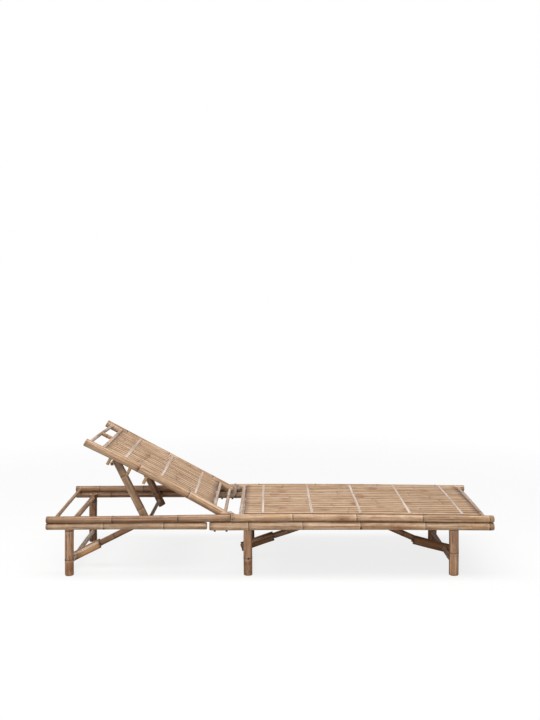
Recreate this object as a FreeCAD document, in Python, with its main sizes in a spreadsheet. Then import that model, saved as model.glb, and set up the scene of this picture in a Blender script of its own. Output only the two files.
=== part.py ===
import FreeCAD, Part
import math
import os

from FreeCAD import Vector, Placement, Rotation
import Sketcher

# Bamboo folding recliner, millimetres.  +X runs from the head end to the foot
# end, +Y from the near side to the far side, +Z up.  The origin is on the
# ground under the middle of the object.

doc = FreeCAD.newDocument("recliner")
sheet = doc.addObject("Spreadsheet::Sheet", "dims")

DIMS = [
    # long rails: two stacked poles on each side
    ("rail_y", 300.0),
    ("head_x0", -1000.0), ("head_upper_x1", -178.5), ("head_lower_x1", -281.0),
    ("head_upper_z0", 258.6), ("head_upper_z1", 267.2),
    ("head_upper_ra", 14.8), ("head_upper_rb", 16.2),
    ("head_lower_z0", 228.5), ("head_lower_z1", 232.0),
    ("head_lower_ra", 15.0), ("head_lower_rb", 16.2),
    ("foot_x1", 1000.0), ("foot_upper_x0", -175.0), ("foot_lower_x0", -271.0),
    ("foot_upper_z0", 267.2), ("foot_upper_z1", 262.2),
    ("foot_upper_ra", 17.0), ("foot_upper_rb", 15.4),
    ("foot_lower_z0", 230.6), ("foot_lower_z1", 229.0),
    ("foot_lower_ra", 19.0), ("foot_lower_rb", 17.5),
    ("end_bore_ratio", 0.62), ("end_bore_depth", 62.0),
    # fits
    ("fit_tight", 0.05), ("fit_run", 0.30),
    # cross bars
    ("head_end_bar_rad", 7.0), ("foot_end_bar_rad", 7.5), ("slat_bar_rad", 8.0),
    ("panel_head_bar_rad", 10.0), ("anchor_bar_rad", 7.0), ("prop_pivot_rad", 6.5),
    ("bar_end_y", 296.0),
    ("foot_end_bar_x", 967.0), ("panel_head_bar_x", -131.0),
    ("anchor_x", 398.0), ("anchor_z", 222.0),
    ("prop_pivot_x", -559.0), ("prop_pivot_z", 224.0),
    # pegs
    ("rail_peg_rad", 4.0), ("joint_dowel_rad", 5.0), ("lug_peg_rad", 2.5),
    # slatted panel of the foot section
    ("slat_thick", 6.5), ("slat_gap", 1.2), ("foot_slat_count", 16.0),
    ("foot_slat_width", 33.8), ("foot_slat_x0", -119.5), ("foot_slat_x1", 938.0),
    ("foot_slat_top", 283.0), ("foot_slat_drop", 6.4),
    ("binding_width", 12.0), ("binding_thick", 1.3),
    # folding hinge between the two sections
    ("hinge_x", -176.5), ("hinge_z", 285.0), ("hinge_pin_rad", 3.5),
    ("foot_lug_y", 277.9), ("foot_lug_thick", 4.5),
    ("head_lug_y", 273.0), ("head_lug_thick", 4.5), ("head_lug_block", 11.2),
    # backrest
    ("back_angle", 28.0), ("back_x", -206.0), ("back_z", 272.0),
    ("back_pivot_x", -205.0), ("back_pivot_z", 267.0), ("back_pivot_rad", 8.0),
    ("back_rail_y", 253.0), ("back_rail_ra", 19.0), ("back_rail_rb", 18.0),
    ("back_rail_tail", 18.0), ("back_rail_length", 728.0),
    ("back_bar_end_y", 250.0), ("back_bottom_bar_rad", 9.0), ("back_bottom_bar_at", 55.0),
    ("back_panel_bar_rad", 8.5), ("back_panel_bar_at", 625.0),
    ("back_top_bar_rad", 6.8), ("back_top_bar_near", 692.0), ("back_top_bar_far", 678.0),
    ("back_slat_bar_rad", 6.0), ("back_strut_rad", 7.5),
    ("back_slat_top", 12.0), ("back_slat_width", 32.2), ("back_slat_count", 14.0),
    ("back_slat_a", 65.5), ("back_slat_b", 615.0),
    ("stop_peg_rad", 7.5), ("stop_peg_in", 8.0), ("stop_peg_length", 43.0),
    # prop
    ("prop_y", 215.5), ("prop_pole_rad", 18.0), ("prop_tail_near", 24.0), ("prop_tail_far", 33.0), ("prop_reach", 328.0),
    ("prop_angle", 63.3), ("prop_top_at", 314.3), ("prop_top_off", 18.1), ("prop_top_rad", 9.0), ("prop_top_end_y", 241.5), ("prop_top_slant", 7.0),
    # legs
    ("leg_pivot_z", 224.0), ("leg_height", 242.0),
    ("head_leg_x", -904.0), ("head_leg_y", 263.0), ("head_leg_rad", 20.0), ("head_cross_z", 52.0),
    ("mid_leg_x", -99.0), ("mid_leg_y", 259.5), ("mid_leg_rad", 20.0), ("mid_cross_z", 58.0),
    ("foot_leg_x", 829.0), ("foot_leg_y", 258.4), ("foot_leg_rad", 22.0), ("foot_cross_z", 52.0),
    ("leg_pivot_rad", 12.0), ("leg_tenon_rad", 7.5), ("leg_tenon_end", 297.0),
    ("leg_cross_rad", 11.0), ("leg_bore_ratio", 0.6), ("leg_bore_depth", 30.0),
    # folding braces
    ("link_half", 17.5), ("link_thick", 8.5), ("link_inner", 14.9), ("link_tail", 42.0), ("link_corner", 3.0),
    ("brace_rod_rad", 13.8), ("brace_eye", 13.8), ("brace_nose", 12.0), ("knee_pin_rad", 5.0),
    ("head_link", 103.6), ("head_link_over", 26.0), ("head_link_angle", 26.4), ("head_brace_y", -140.0),
    ("mid_link", 96.4), ("mid_link_over", 26.0), ("mid_link_angle", 18.8), ("mid_brace_y", 21.0),
    ("foot_link", 102.6), ("foot_link_over", 46.0), ("foot_link_angle", 14.3), ("foot_brace_y", -10.0),
]
D = {}
for row, (alias, value) in enumerate(DIMS, start=1):
    sheet.set("A%d" % row, alias)
    sheet.set("B%d" % row, "%g" % value)
    sheet.setAlias("B%d" % row, alias)
    D[alias] = float(value)
doc.recompute()

NODES = []
COUNT = [0]


def unique(stem):
    COUNT[0] += 1
    return "%s_%d" % (stem, COUNT[0])


def bind(obj, prop, expr):
    if isinstance(expr, str):
        obj.setExpression(prop, expr)
    else:
        setattr(obj, prop, expr)


def aim(base, direction):
    return Placement(base, Rotation(Vector(0, 0, 1), direction))


def cyl(stem, base, direction, radius, height):
    o = doc.addObject("Part::Cylinder", unique(stem))
    bind(o, "Radius", radius)
    bind(o, "Height", height)
    o.Placement = aim(base, direction)
    return o


def cone(stem, base, direction, ra, rb, height):
    o = doc.addObject("Part::Cone", unique(stem))
    bind(o, "Radius1", ra)
    bind(o, "Radius2", rb)
    bind(o, "Height", height)
    o.Placement = aim(base, direction)
    return o


def box(stem, length, width, height, placement):
    o = doc.addObject("Part::Box", unique(stem))
    bind(o, "Length", length)
    bind(o, "Width", width)
    bind(o, "Height", height)
    o.Placement = placement
    return o


def cut(stem, base, tools):
    o = doc.addObject("Part::Cut", unique(stem))
    o.Base = base
    if len(tools) == 1:
        o.Tool = tools[0]
    else:
        c = doc.addObject("Part::Compound", unique(stem + "_tools"))
        c.Links = tools
        o.Tool = c
    return o


def fuse(stem, shapes):
    o = doc.addObject("Part::MultiFuse", unique(stem))
    o.Shapes = shapes
    return o


def group(stem, links):
    o = doc.addObject("Part::Compound", unique(stem))
    o.Links = links
    return o


def node(label, obj):
    obj.Label = label
    NODES.append((label, obj))
    return obj


def cross_bar(label, x, z, radius, end):
    return node(label, cyl(label, Vector(x, -D[end], z), Vector(0, 1, 0), "dims." + radius, "2 * dims." + end))


def side_hole(x, z, radius, fit, side, inner_y, end_y):
    """A blind hole that a cross bar's end sits in, bored from the inner side."""
    y0 = side * (inner_y)
    return cyl("bore", Vector(x, y0, z), Vector(0, side, 0), "dims.%s + dims.%s" % (radius, fit), end_y - inner_y)


def line_z(x, x0, x1, z0, z1):
    return z0 + (z1 - z0) * (x - x0) / (x1 - x0)


# ---------------------------------------------------------------- side rails

FOOT_BAR_X = [-33.0, 189.0, 407.0, 630.0, 866.0]
FOOT_PEG_X = [-60.0, 275.0, 560.0, 915.0]
HEAD_PEG_X = [-932.0, -770.0, -420.0, -310.0]
DOWEL_X = [-247.0, -194.0]
LUG_FOOT_PEG = [(-166.0, 265.0), (-158.5, 272.0)]
LUG_HEAD_PEG = [(-217.0, 256.0), (-191.3, 260.0)]
HEAD_END_NEAR_X, HEAD_END_FAR_X = -962.0, -976.0
FOOT_END_NEAR_X, FOOT_END_FAR_X = 962.0, 972.0
HEAD_END_Z = 258.9


def slat_top(x):
    return D["foot_slat_top"] - D["foot_slat_drop"] * (x - D["foot_slat_x0"]) / (D["foot_slat_x1"] - D["foot_slat_x0"])


def bar_z(x):
    return slat_top(x) - D["slat_thick"] - D["slat_bar_rad"] - 0.1


def foot_upper_z(x):
    return line_z(x, D["foot_upper_x0"], D["foot_x1"], D["foot_upper_z0"], D["foot_upper_z1"])


def foot_upper_r(x):
    return line_z(x, D["foot_upper_x0"], D["foot_x1"], D["foot_upper_ra"], D["foot_upper_rb"])


def foot_lower_r(x):
    return line_z(x, D["foot_lower_x0"], D["foot_x1"], D["foot_lower_ra"], D["foot_lower_rb"])


def head_upper_z(x):
    return line_z(x, D["head_x0"], D["head_upper_x1"], D["head_upper_z0"], D["head_upper_z1"])


END_BAR_Z = foot_upper_z(D["foot_end_bar_x"])
PANEL_BAR_Z = slat_top(D["panel_head_bar_x"]) - D["panel_head_bar_rad"]


def rail(label, side, x0, x1, z0, z1, ra, rb, tools, bore_a=True, bore_b=True):
    start = Vector(D[x0], side * D["rail_y"], D[z0])
    end = Vector(D[x1], side * D["rail_y"], D[z1])
    d = end.sub(start)
    # the length along the slightly sloping centre line
    pole = cone(label, start, d, "dims." + ra, "dims." + rb,
                "sqrt((dims.%s - dims.%s)^2 + (dims.%s - dims.%s)^2)" % (x1, x0, z1, z0))
    u = Vector(d).normalize()
    if bore_a:
        tools = tools + [cyl("end_bore", start.sub(u), u, "dims.%s * dims.end_bore_ratio" % ra, "dims.end_bore_depth + 1")]
    if bore_b:
        tools = tools + [cyl("end_bore", end.add(u), u.negative(), "dims.%s * dims.end_bore_ratio" % rb, "dims.end_bore_depth + 1")]
    return node(label, cut(label, pole, tools))


skew = Vector(HEAD_END_FAR_X - HEAD_END_NEAR_X, 2 * D["bar_end_y"], 0)
skew_u = Vector(skew).normalize()
foot_skew = Vector(FOOT_END_FAR_X - FOOT_END_NEAR_X, 2 * D["bar_end_y"], 0)
foot_skew_u = Vector(foot_skew).normalize()

for side, name in ((-1, "near"), (1, "far")):
    inner = D["rail_y"] - 24
    # foot section, upper pole
    tools = [side_hole(x, bar_z(x), "slat_bar_rad", "fit_tight", side, inner, D["bar_end_y"] + 0.5) for x in FOOT_BAR_X]
    tools.append(side_hole(D["panel_head_bar_x"], PANEL_BAR_Z, "panel_head_bar_rad", "fit_tight", side, inner, D["bar_end_y"] + 0.5))
    xe = FOOT_END_NEAR_X if side < 0 else FOOT_END_FAR_X
    tools.append(cyl("bore", Vector(xe, side * (D["bar_end_y"] + 0.5), END_BAR_Z), Vector(foot_skew_u).multiply(-side), "dims.foot_end_bar_rad + dims.fit_tight", 30))
    for x in FOOT_PEG_X:
        tools.append(cyl("peg_hole", Vector(x, side * D["rail_y"], 240), Vector(0, 0, 1), "dims.rail_peg_rad + dims.fit_tight", 28.5))
    for x, z in LUG_FOOT_PEG:
        tools.append(cyl("peg_hole", Vector(x, side * (D["rail_y"] + 20), z), Vector(0, -side, 0), "dims.lug_peg_rad + dims.fit_tight", 42))
    rail("foot_upper_rail_" + name, side, "foot_upper_x0", "foot_x1", "foot_upper_z0", "foot_upper_z1",
         "foot_upper_ra", "foot_upper_rb", tools, bore_a=False, bore_b=False)
    # foot section, lower pole
    tools = [side_hole(x, D["leg_pivot_z"], "leg_tenon_rad", "fit_run", side, inner, D["leg_tenon_end"] + 0.8) for x in (D["mid_leg_x"], D["foot_leg_x"])]
    tools.append(side_hole(D["anchor_x"], D["anchor_z"], "anchor_bar_rad", "fit_tight", side, inner, D["bar_end_y"] + 0.5))
    for x in FOOT_PEG_X:
        tools.append(cyl("peg_hole", Vector(x, side * D["rail_y"], 228), Vector(0, 0, 1), "dims.rail_peg_rad + dims.fit_tight", 28.5))
    for x in DOWEL_X:
        tools.append(cyl("peg_hole", Vector(x, side * D["rail_y"], 200), Vector(0, 0, 1), "dims.joint_dowel_rad + dims.fit_tight", 42))
    rail("foot_lower_rail_" + name, side, "foot_lower_x0", "foot_x1", "foot_lower_z0", "foot_lower_z1",
         "foot_lower_ra", "foot_lower_rb", tools, bore_a=False)
    # head section, upper pole
    tools = [side_hole(D["back_pivot_x"], D["back_pivot_z"], "back_pivot_rad", "fit_run", side, inner, D["bar_end_y"] + 0.8)]
    xe = HEAD_END_NEAR_X if side < 0 else HEAD_END_FAR_X
    tools.append(cyl("bore", Vector(xe, side * (D["bar_end_y"] + 0.5), HEAD_END_Z), Vector(skew_u).multiply(-side), "dims.head_end_bar_rad + dims.fit_tight", 30))
    for x in HEAD_PEG_X:
        tools.append(cyl("peg_hole", Vector(x, side * D["rail_y"], 236), Vector(0, 0, 1), "dims.rail_peg_rad + dims.fit_tight", 24.5))
    for x, z in LUG_HEAD_PEG:
        tools.append(cyl("peg_hole", Vector(x, side * (D["rail_y"] + 20), z), Vector(0, -side, 0), "dims.lug_peg_rad + dims.fit_tight", 42))
    rail("head_upper_rail_" + name, side, "head_x0", "head_upper_x1", "head_upper_z0", "head_upper_z1",
         "head_upper_ra", "head_upper_rb", tools, bore_a=False, bore_b=False)
    # head section, lower pole
    tools = [side_hole(D["head_leg_x"], D["leg_pivot_z"], "leg_tenon_rad", "fit_run", side, inner, D["leg_tenon_end"] + 0.8)]
    tools.append(side_hole(D["prop_pivot_x"], D["prop_pivot_z"], "prop_pivot_rad", "fit_tight", side, inner, D["bar_end_y"] + 0.5))
    for x in HEAD_PEG_X:
        tools.append(cyl("peg_hole", Vector(x, side * D["rail_y"], 226), Vector(0, 0, 1), "dims.rail_peg_rad + dims.fit_tight", 24.5))
    rail("head_lower_rail_" + name, side, "head_x0", "head_lower_x1", "head_lower_z0", "head_lower_z1",
         "head_lower_ra", "head_lower_rb", tools, bore_a=False, bore_b=False)

# ---------------------------------------------------- foot section, bars, slats

node("foot_slat_bars", group("foot_slat_bars", [
    cyl("slat_bar", Vector(x, -D["bar_end_y"], bar_z(x)), Vector(0, 1, 0), "dims.slat_bar_rad", "2 * dims.bar_end_y")
    for x in FOOT_BAR_X]))
cross_bar("foot_panel_head_bar", D["panel_head_bar_x"], PANEL_BAR_Z, "panel_head_bar_rad", "bar_end_y")
node("foot_end_bar", cyl("foot_end_bar", Vector(FOOT_END_NEAR_X, -D["bar_end_y"], END_BAR_Z), foot_skew,
                         "dims.foot_end_bar_rad", foot_skew.Length))
cross_bar("brace_anchor_bar", D["anchor_x"], D["anchor_z"], "anchor_bar_rad", "bar_end_y")

tilt = math.degrees(math.atan2(D["foot_slat_drop"], D["foot_slat_x1"] - D["foot_slat_x0"]))
n = int(D["foot_slat_count"])
pitch = D["foot_slat_width"] + D["slat_gap"]
slats = []
for i in range(n):
    y = (i - (n - 1) / 2.0) * pitch - D["foot_slat_width"] / 2.0
    base = Vector(D["foot_slat_x0"], y, D["foot_slat_top"] - D["slat_thick"])
    slats.append(box("slat", "dims.foot_slat_x1 - dims.foot_slat_x0", "dims.foot_slat_width", "dims.slat_thick",
                     Placement(base, Rotation(Vector(0, 1, 0), tilt))))
node("foot_slats", group("foot_slats", slats))

bands = []
for x in FOOT_BAR_X:
    base = Vector(x - D["binding_width"] / 2.0, -(n * pitch - D["slat_gap"]) / 2.0,
                  slat_top(x - D["binding_width"] / 2.0) + 0.05)
    bands.append(box("binding", "dims.binding_width", "dims.foot_slat_count * (dims.foot_slat_width + dims.slat_gap) - dims.slat_gap",
                     "dims.binding_thick", Placement(base, Rotation(Vector(0, 1, 0), tilt))))
node("foot_slat_bindings", group("foot_slat_bindings", bands))

pegs = []
for side in (-1, 1):
    for x in FOOT_PEG_X:
        pegs.append(cyl("rail_peg", Vector(x, side * D["rail_y"], 228.5), Vector(0, 0, 1), "dims.rail_peg_rad", 39))
node("foot_rail_pegs", group("foot_rail_pegs", pegs))
pegs = []
for side in (-1, 1):
    for x in DOWEL_X:
        pegs.append(cyl("dowel", Vector(x, side * D["rail_y"], 206.0), Vector(0, 0, 1), "dims.joint_dowel_rad", 35.5))
node("joint_dowels", group("joint_dowels", pegs))

# -------------------------------------------------------------- folding hinge


def plate(stem, outline, holes, y_low, thick):
    """A flat piece cut to an outline in the XZ plane, from y_low to y_low + thick."""
    body = doc.addObject("PartDesign::Body", unique(stem))
    plane = [f for f in body.Origin.OriginFeatures if f.Role == "XZ_Plane"][0]
    sk = body.newObject("Sketcher::SketchObject", unique(stem + "_sketch"))
    sk.AttachmentSupport = [(plane, "")]
    sk.MapMode = "FlatFace"
    pts = outline
    m = len(pts)
    ids = []
    for i in range(m):
        a, b = pts[i], pts[(i + 1) % m]
        ids.append(sk.addGeometry(Part.LineSegment(Vector(a[0], a[1], 0), Vector(b[0], b[1], 0)), False))
    for i in range(m):
        sk.addConstraint(Sketcher.Constraint("Coincident", ids[i], 2, ids[(i + 1) % m], 1))
    for hx, hz, expr, val in holes:
        g = sk.addGeometry(Part.Circle(Vector(hx, hz, 0), Vector(0, 0, 1), val), False)
        c = sk.addConstraint(Sketcher.Constraint("Radius", g, val))
        sk.renameConstraint(c, "hole_%d" % g)
        sk.setExpression("Constraints.hole_%d" % g, expr)
    pad = body.newObject("PartDesign::Pad", unique(stem + "_pad"))
    pad.Profile = sk
    bind(pad, "Length", thick)
    body.Placement = Placement(Vector(0, y_low, 0), Rotation())
    # the plane's normal points to -Y, so the pad is turned to grow towards +Y
    pad.Reversed = True
    body.Tip = pad
    return body


def arc_points(cx, cz, r, a0, a1, steps):
    return [(cx + r * math.cos(math.radians(a0 + (a1 - a0) * i / steps)),
             cz + r * math.sin(math.radians(a0 + (a1 - a0) * i / steps))) for i in range(steps + 1)]


hx, hz = D["hinge_x"], D["hinge_z"]
foot_lug = [(-154.0, 260.0), (-154.0, 279.5)] + arc_points(hx, hz, 7.0, 80, 250, 12) + [(-173.0, 260.0)]
head_lug = [(-184.0, 224.0), (-171.0, 245.0)] + arc_points(hx, hz, 6.6, -10, 100, 10) + [(-222.0, 284.0), (-223.5, 246.0), (-206.0, 224.0)]
head_block = [(-186.5, 248.0), (-186.5, 283.5), (-222.0, 283.5), (-223.0, 248.0)]
lugs, lugs2, pins, pegs_f, pegs_h = [], [], [], [], []
for side in (-1, 1):
    y = D["foot_lug_y"] if side > 0 else -(D["foot_lug_y"] + D["foot_lug_thick"])
    lug = plate("foot_lug", foot_lug, [(hx, hz, "dims.hinge_pin_rad + dims.fit_tight", D["hinge_pin_rad"] + D["fit_tight"])], y, "dims.foot_lug_thick")
    holes = [cyl("peg_hole", Vector(x, side * 270, z), Vector(0, side, 0), "dims.lug_peg_rad + dims.fit_tight", 20) for x, z in LUG_FOOT_PEG]
    lugs.append(cut("foot_lug_bored", lug, holes))
    y = D["head_lug_y"] if side > 0 else -(D["head_lug_y"] + D["head_lug_thick"])
    thin = plate("head_lug", head_lug, [(hx, hz, "dims.hinge_pin_rad + dims.fit_run", D["hinge_pin_rad"] + D["fit_run"])], y, "dims.head_lug_thick")
    y = D["head_lug_y"] if side > 0 else -(D["head_lug_y"] + D["head_lug_block"])
    thick = plate("head_lug_block", head_block, [], y, "dims.head_lug_block")
    both = fuse("head_lug_whole", [thin, thick])
    holes = [cyl("peg_hole", Vector(x, side * 274.5, z), Vector(0, side, 0), "dims.lug_peg_rad + dims.fit_tight", 20) for x, z in LUG_HEAD_PEG]
    holes.append(cyl("bore", Vector(D["back_pivot_x"], side * 265, D["back_pivot_z"]), Vector(0, side, 0), "dims.back_pivot_rad + dims.fit_run", 30))
    # relief for the round flank of the pole that the block lies against
    relief = cone("relief", Vector(D["head_x0"], side * D["rail_y"], D["head_upper_z0"]),
                  Vector(D["head_upper_x1"] - D["head_x0"], 0, D["head_upper_z1"] - D["head_upper_z0"]),
                  "dims.head_upper_ra + 0.1", "dims.head_upper_rb + 0.1", 840)
    lugs2.append(cut("head_lug_bored", both, holes + [relief]))
    pins.append(cyl("hinge_pin", Vector(hx, side * 273.2, hz), Vector(0, side, 0), "dims.hinge_pin_rad", 9.1))
    for x, z in LUG_FOOT_PEG:
        r_here = foot_upper_r(x)
        pegs_f.append(cyl("lug_peg", Vector(x, side * (D["rail_y"] + r_here + 0.8), z), Vector(0, -side, 0), "dims.lug_peg_rad", D["rail_y"] + r_here + 0.8 - 278.2))
    for x, z in LUG_HEAD_PEG:
        pegs_h.append(cyl("lug_peg", Vector(x, side * (D["rail_y"] + 15.6), z), Vector(0, -side, 0), "dims.lug_peg_rad", 40.6))
node("foot_hinge_lugs", group("foot_hinge_lugs", lugs))
node("head_hinge_lugs", group("head_hinge_lugs", lugs2))
node("hinge_pins", group("hinge_pins", pins))
node("foot_lug_pegs", group("foot_lug_pegs", pegs_f))
node("head_lug_pegs", group("head_lug_pegs", pegs_h))

# ---------------------------------------------------------- head section, bars

node("head_end_bar", cyl("head_end_bar", Vector(HEAD_END_NEAR_X, -D["bar_end_y"], HEAD_END_Z), skew,
                         "dims.head_end_bar_rad", skew.Length))
cross_bar("prop_pivot_bar", D["prop_pivot_x"], D["prop_pivot_z"], "prop_pivot_rad", "bar_end_y")
pegs = []
for side in (-1, 1):
    for x in HEAD_PEG_X:
        pegs.append(cyl("rail_peg", Vector(x, side * D["rail_y"], 226.5), Vector(0, 0, 1), "dims.rail_peg_rad", 33.5))
node("head_rail_pegs", group("head_rail_pegs", pegs))

# -------------------------------------------------------------------- backrest

ba = math.radians(180.0 - D["back_angle"])
BU = Vector(math.cos(ba), 0, math.sin(ba))
BN = Vector(math.sin(ba), 0, -math.cos(ba))
B0 = Vector(D["back_x"], 0, D["back_z"])


def on_back(s, y, h):
    return B0.add(Vector(BU).multiply(s)).add(Vector(BN).multiply(h)).add(Vector(0, y, 0))


BACK_BAR_S = [160.0, 332.0, 516.0]
BACK_BAR_H = D["back_slat_top"] - D["slat_thick"] - D["back_slat_bar_rad"] - 0.1
PEG_S = [389.0, 473.0, 572.8]
BOTTOM_H = D["back_slat_top"] - D["back_bottom_bar_rad"]
PANEL_H = D["back_slat_top"] - D["back_panel_bar_rad"]
TOP_H = 2.0


# the top bar is set a little askew
TOP_NEAR = on_back(D["back_top_bar_near"], -D["back_bar_end_y"], TOP_H)
TOP_FAR = on_back(D["back_top_bar_far"], D["back_bar_end_y"], TOP_H)
TOP_U = TOP_FAR.sub(TOP_NEAR).normalize()
TOP_MID = TOP_NEAR.add(TOP_FAR).multiply(0.5)


def back_bar(stem, s, h, radius):
    return cyl(stem, on_back(s, -D["back_bar_end_y"], h), Vector(0, 1, 0), "dims." + radius, "2 * dims.back_bar_end_y")


for side, name in ((-1, "near"), (1, "far")):
    pole = cone("back_rail", on_back(-D["back_rail_tail"], side * D["back_rail_y"], 0), BU,
                "dims.back_rail_ra", "dims.back_rail_rb", "dims.back_rail_length")
    tools = []
    for s, h, radius in ([(D["back_bottom_bar_at"], BOTTOM_H, "back_bottom_bar_rad"),
                          (D["back_panel_bar_at"], PANEL_H, "back_panel_bar_rad")]
                         + [(s, BACK_BAR_H, "back_slat_bar_rad") for s in BACK_BAR_S]):
        tools.append(cyl("bore", on_back(s, side * 228.0, h), Vector(0, side, 0),
                         "dims.%s + dims.fit_tight" % radius, "dims.back_bar_end_y - 227.5"))
    tools.append(cyl("bore", Vector(D["back_pivot_x"], side * 220.0, D["back_pivot_z"]), Vector(0, side, 0),
                     "dims.back_pivot_rad + dims.fit_tight", 60))
    tools.append(cyl("bore", TOP_NEAR if side < 0 else TOP_FAR, Vector(TOP_U).multiply(-side), "dims.back_top_bar_rad + dims.fit_tight", 22))
    for s in PEG_S:
        tools.append(cyl("bore", on_back(s, side * D["back_rail_y"], -D["stop_peg_in"] + 0.5), Vector(BN).negative(),
                         "dims.stop_peg_rad + dims.fit_tight", 30))
    tools.append(cyl("end_bore", on_back(711.0, side * D["back_rail_y"], 0), Vector(BU).negative(),
                     "dims.back_rail_rb * dims.end_bore_ratio", 18))
    node("backrest_rail_" + name, cut("back_rail_cut", pole, tools))

node("backrest_pivot_bar", cyl("back_pivot", Vector(D["back_pivot_x"], -D["bar_end_y"], D["back_pivot_z"]),
                               Vector(0, 1, 0), "dims.back_pivot_rad", "2 * dims.bar_end_y"))
node("backrest_bottom_bar", back_bar("back_bottom", D["back_bottom_bar_at"], BOTTOM_H, "back_bottom_bar_rad"))
panel_bar = node("backrest_panel_bar", back_bar("back_panel", D["back_panel_bar_at"], PANEL_H, "back_panel_bar_rad"))
top_bar = node("backrest_top_bar", cyl("back_top", TOP_NEAR, TOP_U, "dims.back_top_bar_rad", TOP_FAR.sub(TOP_NEAR).Length))
node("backrest_slat_bars", group("backrest_slat_bars", [back_bar("back_slat_bar", s, BACK_BAR_H, "back_slat_bar_rad") for s in BACK_BAR_S]))

strut_a = on_back(D["back_panel_bar_at"], 0, PANEL_H)
strut_b = TOP_MID
strut = cyl("strut", strut_a, strut_b.sub(strut_a), "dims.back_strut_rad", strut_b.sub(strut_a).Length)
node("backrest_strut", cut("strut_cut", strut, [
    cyl("saddle", on_back(D["back_panel_bar_at"], -30, PANEL_H), Vector(0, 1, 0), "dims.back_panel_bar_rad + dims.fit_tight", 60),
    cyl("saddle", TOP_MID.sub(Vector(TOP_U).multiply(30)), TOP_U, "dims.back_top_bar_rad + dims.fit_tight", 60)]))

# a frame whose X runs up the backrest and whose Z is square to its slats
back_rot = Rotation(BU, Vector(0, -1, 0), BN, "XZY")
n = int(D["back_slat_count"])
pitch = D["back_slat_width"] + D["slat_gap"]
slats = []
for i in range(n):
    y = (i - (n - 1) / 2.0) * pitch + D["back_slat_width"] / 2.0
    slats.append(box("slat", "dims.back_slat_b - dims.back_slat_a", "dims.back_slat_width", "dims.slat_thick",
                     Placement(on_back(D["back_slat_a"], y, D["back_slat_top"] - D["slat_thick"]), back_rot)))
node("backrest_slats", group("backrest_slats", slats))
bands = []
for s in BACK_BAR_S:
    bands.append(box("binding", "dims.binding_width", "dims.back_slat_count * (dims.back_slat_width + dims.slat_gap) - dims.slat_gap", "dims.binding_thick",
                     Placement(on_back(s - D["binding_width"] / 2.0, (n * pitch - D["slat_gap"]) / 2.0, D["back_slat_top"] + 0.05), back_rot)))
node("backrest_bindings", group("backrest_bindings", bands))
pegs = []
for side in (-1, 1):
    for s in PEG_S:
        pegs.append(cyl("stop_peg", on_back(s, side * D["back_rail_y"], -D["stop_peg_in"]), Vector(BN).negative(),
                        "dims.stop_peg_rad", "dims.stop_peg_length"))
node("prop_stop_pegs", group("prop_stop_pegs", pegs))

# ------------------------------------------------------------------------ prop

P0 = Vector(D["prop_pivot_x"], 0, D["prop_pivot_z"])
PU = Vector(-math.cos(math.radians(D["prop_angle"])), 0, math.sin(math.radians(D["prop_angle"])))
PN = Vector(-PU.z, 0, PU.x)
# the top bar lies in a saddle cut into the head side of both poles
P1 = P0.add(Vector(PU).multiply(D["prop_top_at"])).add(Vector(PN).multiply(D["prop_top_off"]))
for side, name in ((-1, "near"), (1, "far")):
    off = Vector(0, side * D["prop_y"], 0)
    tail = "prop_tail_" + name
    pole = cyl("prop_pole", P0.sub(Vector(PU).multiply(D[tail])).add(off), PU, "dims.prop_pole_rad", "dims.prop_reach + dims." + tail)
    tools = [cyl("bore", Vector(D["prop_pivot_x"], side * D["prop_y"] - 25, D["prop_pivot_z"]), Vector(0, 1, 0), "dims.prop_pivot_rad + dims.fit_run", 50),
             cyl("saddle", P1.add(Vector(0, side * D["prop_y"] - 25, 0)), Vector(0, 1, 0), "dims.prop_top_rad + dims.fit_tight", 50),
             cyl("end_bore", P0.sub(Vector(PU).multiply(D[tail] + 1)).add(off), PU, "dims.prop_pole_rad * dims.end_bore_ratio", 14)]
    # the top end is sawn aslant, so the pole passes under the slat bars as it swings
    slant = math.atan2(D["prop_top_slant"], 2.0 * D["prop_pole_rad"])
    SU = Vector(PU).multiply(math.cos(slant)).sub(Vector(PN).multiply(math.sin(slant)))
    SN = Vector(PN).multiply(math.cos(slant)).add(Vector(PU).multiply(math.sin(slant)))
    low = P0.add(Vector(PU).multiply(D["prop_reach"] - D["prop_top_slant"])).sub(Vector(PN).multiply(D["prop_pole_rad"]))
    corner = low.sub(Vector(SN).multiply(12)).add(Vector(0, side * D["prop_y"] - 25, 0))
    tools.append(box("slant", 30, 50, 62, Placement(corner, Rotation(SU, Vector(0, 1, 0), SN, "XZY"))))
    node("prop_pole_" + name, cut("prop_pole_cut", pole, tools))
node("prop_top_bar", cyl("prop_top", Vector(P1.x, -D["prop_top_end_y"], P1.z), Vector(0, 1, 0),
                         "dims.prop_top_rad", "2 * dims.prop_top_end_y"))

# ------------------------------------------------------------------------ legs

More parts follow.
